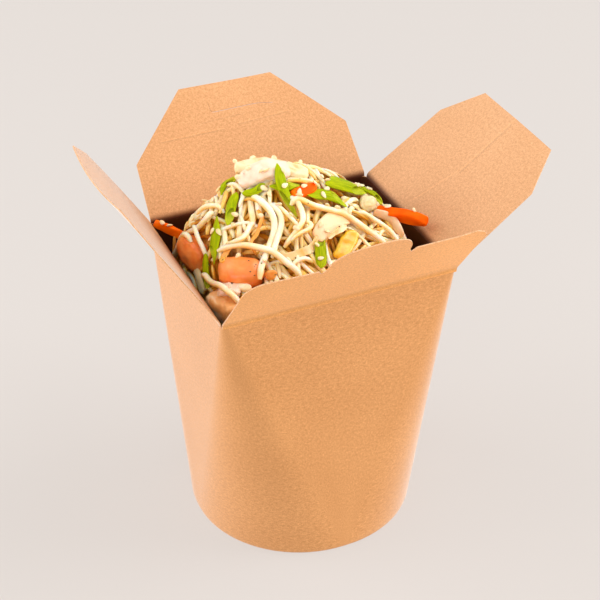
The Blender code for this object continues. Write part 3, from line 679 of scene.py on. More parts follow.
def front_edge():
    """Upper edge of the front flap from its shoulder to its ear: arc, notch, superellipse, notch, ear."""
    half, shoulder = FRONT_SHOULDER
    quarter = np.linspace(0.0, math.pi / 2, 14)
    arc = np.stack([half - FRONT_CORNER * (1 - np.cos(quarter)),
                    shoulder - FRONT_CORNER * (1 - np.sin(quarter))], -1)
    power = 2 / TONGUE_FULLNESS
    angle = np.linspace(0.0, math.pi, 61)
    reach_x = squarer(np.cos(angle), power)
    tongue = np.stack([-TONGUE_SHIFT + TONGUE_HALF_WIDTH * reach_x,
                       shoulder + (TONGUE_TOP - shoulder) * np.abs(np.sin(angle)) ** power], -1)
    foot_right, foot_left = tongue[0, 0], tongue[-1, 0]
    notch_right = [(foot_right + NOTCH_WIDTH, shoulder),
                   (foot_right + NOTCH_WIDTH / 2, shoulder - NOTCH_DEPTH)]
    notch_left = [(foot_left - NOTCH_WIDTH / 2, shoulder - NOTCH_DEPTH),
                  (foot_left - NOTCH_WIDTH, shoulder)]
    corners = np.concatenate([arc, notch_right, tongue, notch_left, FRONT_EAR])
    length = np.concatenate([[0.0], np.cumsum(np.linalg.norm(np.diff(corners, axis=0), axis=1))])
    fine = np.unique(np.concatenate([length, np.arange(0, length[-1], 0.0008)]))
    fine = fine[np.append(True, np.diff(fine) > 0.00005)]
    edge = np.stack([np.interp(fine, length, corners[:, 0]), np.interp(fine, length, corners[:, 1])], -1)
    return edge, fine / length[-1]


def front_flap():
    """A ruled sheet between the crease and the upper edge."""
    directions = crease_frame("flap_front", FRONT_ANGLE, math.pi)
    edge, share = front_edge()
    low_x = FRONT_HALF_WIDTH * (0.5 * (1 - 2 * share) + 0.5 * np.interp(
        edge[:, 0], [FRONT_EAR[-1][0], FRONT_SHOULDER[0]], [-1.0, 1.0]))
    rise = np.linspace(0.0, 1.0, 40)[1:, None]
    height = np.concatenate([np.repeat(BEND_ROWS[:, None], len(edge), 1),
                             BEND + rise * (edge[:, 1] - BEND)])
    x = np.concatenate([np.repeat(low_x[None], len(BEND_ROWS), 0), low_x + rise * (edge[:, 0] - low_x)])
    lift = 0.0005 * (np.sin(x / 0.014 + 1.0) - 1.0) * np.clip(height / TONGUE_TOP, 0, 1) ** 2
    keep = np.ones((len(height) - 1, len(edge) - 1), bool)
    # Painted light on the front flap: a dark line of painted shade along the crease, a wide painted
    # highlight near one end, and three thin dark lines of painted shade above the crease.
    finish = kraft_finish("kraft_front_flap", KRAFT_FRONT_PAINTED_LIGHT, sheen=0.25, painted_lines=[
        ((-0.046, 0.0), (0.046, 0.0), 0.0028, 0.80),
        ((-0.044, 0.006), (-0.040, 0.030), 0.0300, 1.12),
        ((-0.046, 0.0026), (-0.012, 0.0022), 0.0005, 0.84),
        ((-0.046, 0.0038), (-0.020, 0.0034), 0.0004, 0.90),
        ((-0.012, 0.0022), (0.046, 0.0018), 0.0005, 0.92)])
    piece = board_shell("flap_front_board", bent_sheet(directions, x, height, lift),
                        np.stack([x, height], -1), keep, directions[3], [finish, edge_finish])
    hang_flap(piece, "flap_front")


front_flap()


# ---------------------------------------------------------------------------------------------
# Core of the noodles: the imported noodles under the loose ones, from the carton's floor up to a
# few millimetres below their top. Its mound is the frame's own heap.

HEAP_EDGE = 0.1020
HEAP_SHOULDER = 0.1050
HEAP_RISE = 0.0400
HEAP_TOP = (-0.0096, 0.0100)
HEAP_REACH = {"left": 0.0356, "right": 0.0468, "front": 0.0360, "back": 0.0182}
HEAP_FULLNESS = 0.91
EDGE_SLOPE = 0.0080
KNOLLS = 46
KNOLL_RISE = 0.0021
CORE_DEPTH = 0.0050
MOAT_DEPTH = 0.0200              # how much lower the core is at the wall, where the noodles leave gaps
MOAT_WIDTH = 0.0110
PAN_TOP = HEM_HEIGHT + GAP + BOARD

knoll_numbers = np.random.default_rng(26)
KNOLL_PLACES = knoll_numbers.uniform((-0.038, -0.032), (0.038, 0.032), (KNOLLS, 2))
KNOLL_WIDTHS = knoll_numbers.uniform(0.0035, 0.0065, KNOLLS)
KNOLL_RISES = knoll_numbers.uniform(-1.0, 1.0, KNOLLS) * KNOLL_RISE


def wall_distance(x, y):
    """How far a place lies inside the wall at the noodles' edge, of straight sides and arcs."""
    half_x, half_y, radius = cross_section(HEAP_EDGE, BOARD + GAP)
    over_x, over_y = np.abs(x) - (half_x - radius), np.abs(y) - (half_y - radius)
    beyond = np.hypot(np.maximum(over_x, 0), np.maximum(over_y, 0))
    return radius - beyond - np.minimum(np.maximum(over_x, over_y), 0)


def heap_level(x, y):
    """Level of the noodles: a mound with seeded knolls, banked down to the wall."""
    x, y = np.asarray(x, float), np.asarray(y, float)
    reach_x = np.where(x < HEAP_TOP[0], HEAP_REACH["left"], HEAP_REACH["right"])
    reach_y = np.where(y < HEAP_TOP[1], HEAP_REACH["front"], HEAP_REACH["back"])
    off = ((x - HEAP_TOP[0]) / reach_x) ** 2 + ((y - HEAP_TOP[1]) / reach_y) ** 2
    level = HEAP_SHOULDER + HEAP_RISE * np.exp(-off ** HEAP_FULLNESS)
    spread = (x[..., None] - KNOLL_PLACES[:, 0]) ** 2 + (y[..., None] - KNOLL_PLACES[:, 1]) ** 2
    level = level + (KNOLL_RISES * np.exp(-spread / KNOLL_WIDTHS ** 2)).sum(-1)
    bank = np.clip(wall_distance(x, y) / EDGE_SLOPE, 0.0, 1.0)
    return HEAP_EDGE + (level - HEAP_EDGE) * bank * bank * (3 - 2 * bank)


def waves(points, length, count=7, seed=1):
    """Smooth bumps of about the given length, from -1 to 1: a sum of seeded plane waves."""
    numbers = np.random.default_rng(seed)
    ways = numbers.normal(size=(count, 3))
    ways /= np.linalg.norm(ways, axis=1, keepdims=True)
    rates = 2 * math.pi / (length * numbers.uniform(0.7, 1.5, count))
    phases = numbers.uniform(0, 2 * math.pi, count)
    return np.sin((points @ ways.T) * rates + phases).sum(-1) / math.sqrt(count)


def colour_ramp(tree, factor, stops):
    """A run of colours over a factor, from stops of a place between 0 and 1 and a colour."""
    ramp = put(tree, "ShaderNodeValToRGB", {"Fac": factor})
    while len(ramp.color_ramp.elements) < len(stops):
        ramp.color_ramp.elements.new(0.5)
    for element, (position, colour) in zip(ramp.color_ramp.elements, stops):
        element.position = position
        element.color = (*colour, 1.0)
    return ramp.outputs[0]


# Painted shade: the core's colours are a darker, browner copy of the noodles', for the shade between and
# under the loose noodles.
shaded_core_finish, tree, shader = new_finish("packed_noodles_painted_shade", Roughness=0.4, Subsurface_Weight=0.15,
                                       Subsurface_Radius=(1.0, 0.5, 0.2), Subsurface_Scale=0.002)
spot = put(tree, "ShaderNodeTexCoord")
strands = put(tree, "ShaderNodeTexNoise", {"Vector": spot.outputs["Object"], "Scale": 260.0,
                                           "Detail": 3.0, "Distortion": 1.5})
tone = colour_ramp(tree, strands.outputs["Fac"], [(0.35, (0.50, 0.200, 0.020)),
                                                  (0.65, (0.86, 0.500, 0.110))])
bump = put(tree, "ShaderNodeBump", {"Height": strands.outputs["Fac"], "Strength": 0.6,
                                    "Distance": 0.002})
tree.links.new(tone, shader.inputs["Base Color"])
tree.links.new(bump.outputs[0], shader.inputs["Normal"])


def core_level(x, y):
    """The noodles' level less the loose layer, and lower still along the wall."""
    near = np.clip(1 - wall_distance(x, y) / MOAT_WIDTH, 0.0, 1.0)
    return heap_level(x, y) - CORE_DEPTH - MOAT_DEPTH * near * near * (3 - 2 * near)


core_share = np.linspace(1.0, 0.04, 40)
core_edge = HEAP_EDGE - CORE_DEPTH - MOAT_DEPTH
side_heights = np.linspace(PAN_TOP + 2 * GAP, core_edge, 14)
edge_ring = outline(core_edge, BOARD + 2 * GAP)
side_rings = outline(side_heights, np.full(14, BOARD + 2 * GAP))
top_rings = edge_ring * np.array([1, 1, 0]) * core_share[1:, None, None]
top_rings[..., 2] = core_level(top_rings[..., 0], top_rings[..., 1])
core_rings = np.concatenate([side_rings, top_rings])
core_points, core_faces = close_ends(core_rings)
core = add_piece("noodle_core", core_points, core_faces, [shaded_core_finish])
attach(core, "carton")
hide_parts("noodle_heap")

# What has settled so far is kept as a map of heights, on which the next things come to lie.
CELL = 0.0005
MAP_HALF = 0.060
map_line = np.arange(-MAP_HALF, MAP_HALF + CELL, CELL)
map_x, map_y = np.meshgrid(map_line, map_line, indexing="ij")
settled = core_level(map_x, map_y)
crowded = np.full(settled.shape, 1.0)     # underside of what the loose noodles have to pass below


def cells(x, y):
    """Row and column of the map for each place."""
    row = np.clip(np.rint((np.asarray(x) + MAP_HALF) / CELL).astype(int), 0, len(map_line) - 1)
    column = np.clip(np.rint((np.asarray(y) + MAP_HALF) / CELL).astype(int), 0, len(map_line) - 1)
    return row, column


def settle(level, points):
    """Raises a map of heights to the highest of the points in each cell."""
    points = np.asarray(points).reshape(-1, 3)
    row, column = cells(points[:, 0], points[:, 1])
    np.maximum.at(level, (row, column), points[:, 2])


# ---------------------------------------------------------------------------------------------
# Toppings: strips, slices and lumps of chicken, cabbage, pepper, carrot and glazed meat, lying on
# the noodles. A slice is a section carried along a route, a lump a rounded block with cut faces.

ROUTE_ROWS = 44
SECTION_SIDES = 32


def smooth_route(points, count):
    """Samples of the Catmull-Rom curve through the points."""
    points = np.asarray(points, float)
    points = np.concatenate([[2 * points[0] - points[1]], points, [2 * points[-1] - points[-2]]])
    spans = len(points) - 3
    step = np.linspace(0.0, spans, count)
    k = np.minimum(step.astype(int), spans - 1)
    t = (step - k)[:, None]
    a, b, c, d = points[k], points[k + 1], points[k + 2], points[k + 3]
    return 0.5 * (2 * b + (c - a) * t + (2 * a - 5 * b + 4 * c - d) * t ** 2
                  + (3 * b - a - 3 * c + d) * t ** 3)


def unit(vectors):
    return vectors / np.maximum(np.linalg.norm(vectors, axis=-1, keepdims=True), 1e-12)


def heap_normal(x, y):
    """Direction out of the noodles' surface, from its slope over a few millimetres."""
    reach = 0.003
    slope_x = (heap_level(x + reach, y) - heap_level(x - reach, y)) / (2 * reach)
    slope_y = (heap_level(x, y + reach) - heap_level(x, y - reach)) / (2 * reach)
    return unit(np.stack([-slope_x, -slope_y, np.ones_like(slope_x)], -1))


def lying(points):
    """Points given as x, y and height above the noodles, as places in space."""
    points = np.asarray(points, float).copy()
    points[:, 2] += heap_level(points[:, 0], points[:, 1])
    return points


def route_frame(route, roll):
    """Directions across and above a route that lies on the noodles, turned by roll."""
    along = unit(np.gradient(route, axis=0))
    across = unit(np.cross(along, heap_normal(route[:, 0], route[:, 1])))
    above = np.cross(across, along)
    return across * np.cos(roll) + above * np.sin(roll), above * np.cos(roll) - across * np.sin(roll)


def slice_piece(route, half_width, half_thickness, start=0.35, end=0.35, squareness=2.0, roll=0.0,
                rough=0.0, wave_length=0.004, curl=0.0, seed=1):
    """Rings of a slice: superellipse sections along a route, tapered and rounded at the ends.

    rough is the height of seeded bumps, and curl lifts both long edges by that much.
    """
    route = smooth_route(route, ROUTE_ROWS)
    across, above = route_frame(route, roll)
    t = np.linspace(0.0, 1.0, ROUTE_ROWS)
    taper = np.minimum(start + (1 - start) * np.sin(np.minimum(t / 0.3, 1) * math.pi / 2),
                       end + (1 - end) * np.sin(np.minimum((1 - t) / 0.3, 1) * math.pi / 2))
    ends = np.clip(np.minimum(t, 1 - t) / 0.06, 0, 1)
    close = np.sqrt(1 - (1 - ends) ** 2) * 0.97 + 0.03
    angle = 2 * math.pi * np.arange(SECTION_SIDES) / SECTION_SIDES
    reach_c, reach_s = squarer(np.cos(angle), 2 / squareness), squarer(np.sin(angle), 2 / squareness)
    wide = (half_width * taper * close)[:, None, None]
    thick = (half_thickness * (0.5 + taper / 2) * close)[:, None, None]
    rings = (route[:, None] + across[:, None] * wide * reach_c[:, None]
             + above[:, None] * (thick * reach_s[:, None] + curl * (reach_c[:, None] ** 2)))
    if rough:
        rings += unit(rings - route[:, None]) * (rough * waves(rings, wave_length, seed=seed))[..., None]
    return rings


def lump_piece(centre, radii, turn, tilt=0.0, squareness=2.6, rough=0.0004, wave_length=0.005, seed=1):
    """Rings of a rounded block: a superellipsoid of the given radii, dented by seeded waves."""
    polar = np.linspace(0.03, math.pi - 0.03, 40)[:, None]
    angle = 2 * math.pi * np.arange(56)[None] / 56
    power = 2 / squareness
    flat = np.sin(polar) ** power
    rings = np.stack([flat * squarer(np.cos(angle), power), flat * squarer(np.sin(angle), power),
                      squarer(np.cos(polar), power) + 0 * angle], -1)
    rings = rings * np.array(radii)
    rings += unit(rings) * (rough * (waves(rings, wave_length, seed=seed)
                                     + 0.4 * waves(rings, wave_length / 3, seed=seed + 50)))[..., None]
    turned = np.array(Matrix.Rotation(turn, 3, "Z") @ Matrix.Rotation(tilt, 3, "X"))
    return rings @ turned.T + centre


def food_finish(name, ramp, scale, roughness, subsurface=0.3, radius=(1.0, 0.5, 0.3), depth=0.0015,
                bump_height=0.0002, bump_scale=900.0, distortion=0.6, coat=0.0, stretch=(1, 1, 1),
                shine=0.5):
    """Moist food: its colour runs through the ramp by noise of that scale; a finer noise is its relief."""
    finish, tree, shader = new_finish(name, Roughness=roughness, Subsurface_Weight=subsurface,
                                      Subsurface_Radius=radius, Subsurface_Scale=depth,
                                      Coat_Weight=coat, Coat_Roughness=0.12,
                                      Specular_IOR_Level=shine)
    spot = put(tree, "ShaderNodeTexCoord")
    placed = put(tree, "ShaderNodeMapping", {"Vector": spot.outputs["Object"], "Scale": stretch})
    cloud = put(tree, "ShaderNodeTexNoise", {"Vector": placed.outputs[0], "Scale": scale,
                                             "Detail": 4.0, "Distortion": distortion})
    tone = colour_ramp(tree, cloud.outputs["Fac"], ramp)
    grain = put(tree, "ShaderNodeTexNoise", {"Vector": spot.outputs["Object"], "Scale": bump_scale,
                                             "Detail": 3.0})
    bump = put(tree, "ShaderNodeBump", {"Height": grain.outputs["Fac"], "Strength": 0.5,
                                        "Distance": bump_height})
    tree.links.new(tone, shader.inputs["Base Color"])
    tree.links.new(bump.outputs[0], shader.inputs["Normal"])
    return finish


FINISHES = {
    "chicken": food_finish("poached_chicken", [(0.3, (0.88, 0.52, 0.20)), (0.45, (0.92, 0.70, 0.38)),
                                               (0.7, (0.95, 0.83, 0.58))], 260.0, 0.42, 0.30),
    "pink_chicken": food_finish("pale_chicken", [(0.3, (0.86, 0.58, 0.40)), (0.6, (0.90, 0.72, 0.56))],
                                180.0, 0.40, 0.35),
    "glazed": food_finish("glazed_meat", [(0.3, (0.88, 0.20, 0.030)), (0.55, (0.93, 0.28, 0.055)),
                                          (0.8, (0.95, 0.42, 0.13))], 150.0, 0.32, 0.25,
                          radius=(1.0, 0.35, 0.12), coat=0.15),
    "browned": food_finish("browned_chicken", [(0.32, (0.72, 0.27, 0.06)), (0.5, (0.88, 0.46, 0.16)),
                                               (0.68, (0.95, 0.72, 0.46))], 130.0, 0.42, 0.2),
    "carrot": food_finish("carrot_flesh", [(0.3, (0.94, 0.100, 0.0004)), (0.6, (1.00, 0.170, 0.0004)),
                                           (0.8, (1.00, 0.32, 0.004))], 120.0, 0.45, 0.1,
                          radius=(1.0, 0.25, 0.02), shine=0.06),
    "cabbage": food_finish("cabbage_flesh", [(0.3, (0.84, 0.66, 0.32)), (0.6, (0.88, 0.76, 0.46)),
                                             (0.8, (0.93, 0.86, 0.66))], 110.0, 0.36, 0.35),
    "slice": food_finish("pale_cabbage", [(0.3, (0.92, 0.58, 0.28)), (0.7, (0.95, 0.70, 0.42))],
                         120.0, 0.30, 0.35),
    "pepper": food_finish("yellow_pepper", [(0.3, (0.84, 0.38, 0.004)), (0.55, (0.92, 0.52, 0.015)),
                                            (0.8, (0.96, 0.72, 0.16))], 260.0, 0.30, 0.25,
                          radius=(1.0, 0.5, 0.05), coat=0.2),
    "onion": food_finish("onion_flesh", [(0.3, (0.90, 0.50, 0.24)), (0.7, (0.95, 0.72, 0.48))],
                         180.0, 0.30, 0.3),
}

SLICES = [
    ("chicken_strip", "chicken", "chicken",
     [(-0.0196, 0.0144, 0.0056), (-0.0085, 0.0095, -0.0018), (0.0058, 0.0042, -0.0002)],
     dict(half_width=0.0036, half_thickness=0.0024, start=0.8, end=0.7, squareness=3.6,
          rough=0.00020, wave_length=0.003, seed=2)),
    ("carrot_middle", "carrot", "carrot",
     [(-0.0050, -0.0046, 0.0018), (0.0058, -0.0018, 0.0022)],
     dict(half_width=0.0021, half_thickness=0.0014, start=0.8, end=0.6, squareness=4.0)),
    ("chicken_slice", "pink_chicken", "chicken",
     [(-0.0208, 0.0068, 0.0012), (-0.0116, 0.0050, 0.0014), (-0.0020, 0.0040, 0.0012)],
     dict(half_width=0.0040, half_thickness=0.0022, start=0.6, end=0.7, squareness=3.0,
          rough=0.00025, wave_length=0.003, seed=4)),
    ("onion_slice", "onion", "cabbage",
     [(0.0284, -0.0046, 0.0018), (0.0345, -0.0072, 0.0024), (0.0356, -0.0150, 0.0022)],
     dict(half_width=0.0009, half_thickness=0.0019, start=0.5, end=0.4)),
    ("cabbage_slice", "slice", "cabbage",
     [(-0.0016, -0.0182, 0.0010), (0.0080, -0.0130, 0.0014), (0.0164, -0.0092, 0.0014)],
     dict(half_width=0.0036, half_thickness=0.0008, start=0.6, end=0.8, squareness=3.0)),
    ("pepper_piece", "pepper", "yellow_pepper",
     [(0.0154, -0.0162, 0.0014), (0.0104, -0.0196, 0.0016), (0.0050, -0.0238, 0.0016)],
     dict(half_width=0.0030, half_thickness=0.0013, start=0.5, end=0.8, squareness=3.0,
          rough=0.0002, seed=6)),
    ("radish_strip", "chicken", "chicken",
     [(-0.0368, -0.0196, 0.0018), (-0.0331, -0.0228, 0.0020), (-0.0296, -0.0258, 0.0018)],
     dict(half_width=0.0016, half_thickness=0.0012, start=0.6, end=0.6, squareness=3.0)),
    ("cabbage_leaf", "cabbage", "cabbage",
     [(-0.0410, 0.0016, 0.0012), (-0.0412, -0.0030, 0.0012), (-0.0418, -0.0086, 0.0010)],
     dict(half_width=0.0022, half_thickness=0.0008, start=0.6, end=0.7, rough=0.0002, seed=9)),
]
LUMPS = [
    ("chicken_bit", "pink_chicken", "chicken", (-0.0370, -0.0228, 0.0022),
     dict(radii=(0.0040, 0.0028, 0.0024), turn=-0.6, rough=0.0005, wave_length=0.003, seed=13)),
    ("cabbage_chunk", "cabbage", "cabbage", (0.0283, 0.0005, 0.0010),
     dict(radii=(0.0036, 0.0030, 0.0024), turn=0.4, seed=3)),
    ("glazed_front", "glazed", "glazed_meat", (-0.0303, -0.0178, 0.0010),
     dict(radii=(0.0083, 0.0055, 0.0053), turn=-0.45, tilt=0.5, squareness=2.8,
          rough=0.0002, wave_length=0.007, seed=5)),
    ("glazed_left", "glazed", "glazed_meat", (-0.0400, 0.0054, 0.0006),
     dict(radii=(0.0040, 0.0075, 0.0061), turn=0.2, rough=0.0003, seed=8)),
    ("brown_chunk", "browned", "browned_chicken", (-0.0392, -0.0238, 0.0000),
     dict(radii=(0.0049, 0.0075, 0.0049), turn=0.3, squareness=3.0, rough=0.0003, seed=11)),
]
CARROTS = [
    ("carrot_right", [(0.0310, -0.0014, 0.1225), (0.0393, -0.0084, 0.1214), (0.0469, -0.0136, 0.1198)],
     dict(half_width=0.0027, half_thickness=0.0019, start=0.7, end=1.0)),
    ("carrot_left", [(-0.0362, 0.0247, 0.1122), (-0.0415, 0.0314, 0.1140), (-0.0442, 0.0362, 0.1138)],
     dict(half_width=0.0017, half_thickness=0.0012, start=1.0, end=0.8)),
]


def keep_clear(rings):
    """Marks the cells that a topping covers, with the level that its underside needs there."""
    row, column = cells(rings[..., 0], rings[..., 1])
    low = np.repeat(rings[..., 2].min(1)[:, None] + 0.0004, rings.shape[1], 1)
    np.minimum.at(crowded, (row.ravel(), column.ravel()), low.ravel())


def add_topping(name, rings, finish, node):
    """A closed piece of food from its rings; the loose noodles have to pass below it."""
    points, faces = close_ends(rings)
    piece = add_piece(name, points, faces, [finish])
    volume = np.einsum("ij,ij->i", points[[f[0] for f in faces]],
                       np.cross(points[[f[1] for f in faces]], points[[f[2] for f in faces]])).sum()
    if volume < 0:
        piece.data.flip_normals()
    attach(piece, "carton")
    if node:
        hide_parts(node)
    keep_clear(rings)
    return piece


toppings = {}
for name, kind, slot_name, route, shape in SLICES:
    toppings[name] = slice_piece(lying(route), **shape)
    add_topping(name + "_cut", toppings[name], FINISHES[kind], name)
for name, kind, slot_name, place, shape in LUMPS:
    toppings[name] = lump_piece(lying([place])[0], **shape)
    add_topping(name + "_cut", toppings[name], FINISHES[kind], name)
for name, route, shape in CARROTS:
    toppings[name] = slice_piece(route, squareness=5.0, roll=0.5, rough=0.00006, **shape)
    add_topping(name + "_cut", toppings[name], FINISHES["carrot"], name)


# ---------------------------------------------------------------------------------------------
# Spring onions: green stalks cut across at a steep slant, so that each piece is a flattened ring
# with two points. The tube's wall is thin, waxy outside and paler inside.

ONION_WALL = 0.00038
SPRING_ONIONS = [
    ([(-0.0064, 0.0030, 0.0050), (-0.0079, -0.0024, 0.0038), (-0.0066, -0.0112, 0.0014)],
     0.0021, 0.0010, 0.4),
    ([(-0.0122, -0.0012, 0.0016), (-0.0062, -0.0020, 0.0018), (0.0000, -0.0008, 0.0016)],
     0.0016, 0.0009, 2.2),
    ([(-0.0212, 0.0022, 0.0020), (-0.0172, 0.0003, 0.0020), (-0.0131, 0.0005, 0.0020)],
     0.0016, 0.0010, 1.2),
    ([(-0.0272, 0.0098, 0.0014), (-0.0240, 0.0128, 0.0020), (-0.0206, 0.0098, 0.0020)],
     0.0014, 0.0011, 0.0),
    ([(-0.0228, 0.0042, 0.0016), (-0.0258, 0.0016, 0.0016), (-0.0292, -0.0036, 0.0014)],
     0.0020, 0.0009, 2.0),
    ([(-0.0308, 0.0014, 0.0018), (-0.0352, -0.0052, 0.0018), (-0.0384, -0.0098, 0.0024)],
     0.0019, 0.0010, 0.9),
    ([(-0.0386, -0.0040, 0.0016), (-0.0400, -0.0078, 0.0018), (-0.0410, -0.0122, 0.0028)],
     0.0018, 0.0009, 2.6),
    ([(0.0006, -0.0164, 0.0016), (-0.0010, -0.0218, 0.0018), (-0.0032, -0.0272, 0.0016)],
     0.0024, 0.0010, 4.5),
    ([(0.0104, 0.0012, 0.0018), (0.0208, 0.0054, 0.0020), (0.0322, 0.0070, 0.0018)],
     0.0034, 0.0009, 0.7),
    ([(0.0008, -0.0050, 0.0016), (0.0095, -0.0030, 0.0018), (0.0176, -0.0048, 0.0014)],
     0.0023, 0.0009, 2.0),
    ([(0.0300, 0.0104, 0.0018), (0.0346, 0.0082, 0.0020), (0.0360, 0.0036, 0.0018)],
     0.0019, 0.0009, 1.0),
]


def onion_finish():
    """Fine streaks run along the stalk; green outside, paler and yellower on the cut and inside."""
    finish, tree, shader = new_finish("spring_onion_green", Roughness=0.42,
                                      Specular_IOR_Level=0.04, Subsurface_Weight=0.15,
                                      Subsurface_Radius=(0.5, 1.0, 0.1), Subsurface_Scale=0.0008)
    stalk = put(tree, "ShaderNodeUVMap", uv_map="sheet")
    stretched = put(tree, "ShaderNodeMapping", {"Vector": stalk.outputs[0], "Scale": (1.0, 14.0, 1.0)})
    streaks = put(tree, "ShaderNodeTexNoise", {"Vector": stretched.outputs[0], "Scale": 3.0,
                                               "Detail": 3.0})
    tone = colour_ramp(tree, streaks.outputs["Fac"], [(0.30, (0.21, 0.30, 0.001)),
                                                      (0.70, (0.50, 0.56, 0.003))])
    tree.links.new(tone, shader.inputs["Base Color"])
    bump = put(tree, "ShaderNodeBump", {"Height": streaks.outputs["Fac"], "Strength": 0.4,
                                        "Distance": 0.0003})
    tree.links.new(bump.outputs[0], shader.inputs["Normal"])
    return finish


green_finish = onion_finish()
pale_green = food_finish("spring_onion_inside", [(0.3, (0.34, 0.44, 0.004)), (0.7, (0.58, 0.62, 0.03))],
                         300.0, 0.45, 0.15, shine=0.08)


def slant_ring(route, half_width, half_thickness, phase):
    """Both walls of a flattened tube along a route, cut by two slanting planes.

    Round the tube the cut's place along the route swings by a cosine, which gives the points.
    """
    sides, rows = 48, 26
    angle = 2 * math.pi * np.arange(sides) / sides
    share = np.linspace(0.0, 1.0, rows)[:, None]
    swing = 0.5 - 0.5 * np.cos(angle - phase)
    length = 0.60
    t = np.clip((1 - length) * swing + length * share, 0.0, 1.0)
    fine = smooth_route(lying(route), 200)
    across, above = route_frame(fine, 0.0)
    k = (t * 199).astype(int)
    pinch = np.sqrt(np.clip(np.sin(math.pi * np.clip(t, 0.02, 0.98)), 0, 1))
    skins = []
    for inset in (0.0, ONION_WALL):
        wide = (half_width - inset) * (0.45 + 0.55 * pinch) * np.cos(angle)
        thick = np.maximum(half_thickness - inset, 0.0002) * np.sin(angle)
        skins.append(fine[k] + across[k] * wide[..., None] + above[k] * thick[..., None])
    rings = np.concatenate([skins[0], skins[1][::-1]])
    place = np.concatenate([t, t[::-1]]), np.broadcast_to(angle / (2 * math.pi), (2 * rows, sides))
    return rings, place


for number, (route, half_width, half_thickness, phase) in enumerate(SPRING_ONIONS, 1):
    rings, (t, round_share) = slant_ring(route, half_width, half_thickness, phase)
    rows, columns = rings.shape[:2]
    faces = ring_faces(rows, columns, loop=True)
    place = np.stack([t.ravel(), round_share.ravel()], -1)
    kinds = np.repeat(np.arange(rows) >= rows // 2 - 1, columns).astype(int)
    piece = add_piece(f"spring_onion_{number}_ring", rings, faces.tolist(), [green_finish, pale_green],
                      kinds, place[faces])
    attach(piece, "carton")
    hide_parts(f"spring_onion_{number}")
    toppings[f"spring_onion_{number}"] = rings[: rows // 2]
    keep_clear(rings[: rows // 2])


# ---------------------------------------------------------------------------------------------
# Noodles: thin wheat noodles, boiled and tossed in oil and sauce, lying over and under each other,
# one or a few side by side. Every strand is let down on what has settled before it.

STRAND_RADIUS = 0.00112
STRAND_STEP = 0.0013
STRAND_SIDES = 8
LOOSE_TRIES = 3200
LOOSE_STRANDS = 620
SHORTEST_STRAND = 9                # in steps; what is left of a shorter one isn't laid
STRAND_PROUD = 0.0016              # how far a loose strand may stand above the noodles' level
STRAND_SQUEEZE = 0.0010            # how far it may press up into the topping that it passes below
SAUCE_AND_SHADE_DEPTH = 0.0036               # this far below the top of the noodles the colour is darkest, from sauce and painted shade


def noodle_finish():
    """Cream on top; golden brown lower down, from sauce and painted shade; painted shade on each strand's
    downward-facing side; moist.
    """
    finish, tree, shader = new_finish("boiled_noodle", Roughness=0.30, Subsurface_Weight=0.40,
                                      Subsurface_Radius=(1.0, 0.50, 0.10), Subsurface_Scale=0.0024,
                                      Specular_IOR_Level=0.25, Coat_Weight=0.08,
                                      Coat_Roughness=0.10)
    own = put(tree, "ShaderNodeAttribute", attribute_name="strand")
    sauce = put(tree, "ShaderNodeAttribute", attribute_name="sauce")
    spot = put(tree, "ShaderNodeTexCoord")
    cloud = put(tree, "ShaderNodeTexNoise", {"Vector": spot.outputs["Object"], "Scale": 150.0,
                                             "Detail": 2.0})
    shift = put(tree, "ShaderNodeMapRange", {0: cloud.outputs["Fac"], 1: 0.3, 2: 0.7,
                                             3: -0.16, 4: 0.16})
    between = put(tree, "ShaderNodeMapRange", {0: own.outputs["Fac"], 1: 0.0, 2: 1.0,
                                               3: -0.02, 4: 0.46})
    moved = put(tree, "ShaderNodeMath", {0: sauce.outputs["Fac"], 1: shift.outputs[0]},
                operation="ADD")
    facing = put(tree, "ShaderNodeSeparateXYZ",
                 {"Vector": put(tree, "ShaderNodeNewGeometry").outputs["Normal"]})
    # Painted shade: the more a strand's surface faces down, the darker and browner its colour.
    underside_shade = put(tree, "ShaderNodeMapRange", {0: facing.outputs["Z"], 1: -0.3, 2: 0.75,
                                             3: 0.34, 4: 0.0})
    tone_and_underside_shade = put(tree, "ShaderNodeMath", {0: between.outputs[0], 1: underside_shade.outputs[0]},
                   operation="ADD")
    total = put(tree, "ShaderNodeMath", {0: moved.outputs[0], 1: tone_and_underside_shade.outputs[0]},
                operation="ADD")
    tone = colour_ramp(tree, total.outputs[0], [
        (0.00, (0.97, 0.88, 0.68)), (0.22, (0.96, 0.76, 0.42)), (0.48, (0.94, 0.58, 0.14)),
        (0.78, (0.86, 0.42, 0.04)), (1.00, (0.60, 0.22, 0.010))])
    tree.links.new(tone, shader.inputs["Base Color"])
    grain = put(tree, "ShaderNodeTexNoise", {"Vector": spot.outputs["Object"], "Scale": 700.0})
    bump = put(tree, "ShaderNodeBump", {"Height": grain.outputs["Fac"], "Strength": 0.2,
                                        "Distance": 0.0003})
    tree.links.new(bump.outputs[0], shader.inputs["Normal"])
    return finish


def settled_at(x, y):
    return settled[cells(x, y)]


def let_down(path, half_width, half_height, slack):
    """Heights of a strand along its path: pulled straight, but above what lies below, less slack."""
    way = unit(np.gradient(path, axis=0))
    side = np.stack([-way[:, 1], way[:, 0]], -1)
    need = np.max([settled_at(*(path + side * half_width * k).T) + half_height * math.sqrt(1 - k * k)
                   for k in (-0.8, -0.4, 0.0, 0.4, 0.8)], axis=0) - slack
    kernel = np.array([1.0, 2.0, 3.0, 4.0, 3.0, 2.0, 1.0])
    kernel /= kernel.sum()
    height = need.copy()
    for _ in range(10):
        smooth = np.convolve(np.pad(height, 3, mode="edge"), kernel, mode="valid")
        height = np.maximum(smooth, need)
    return np.convolve(np.pad(height, 3, mode="edge"), kernel, mode="valid")


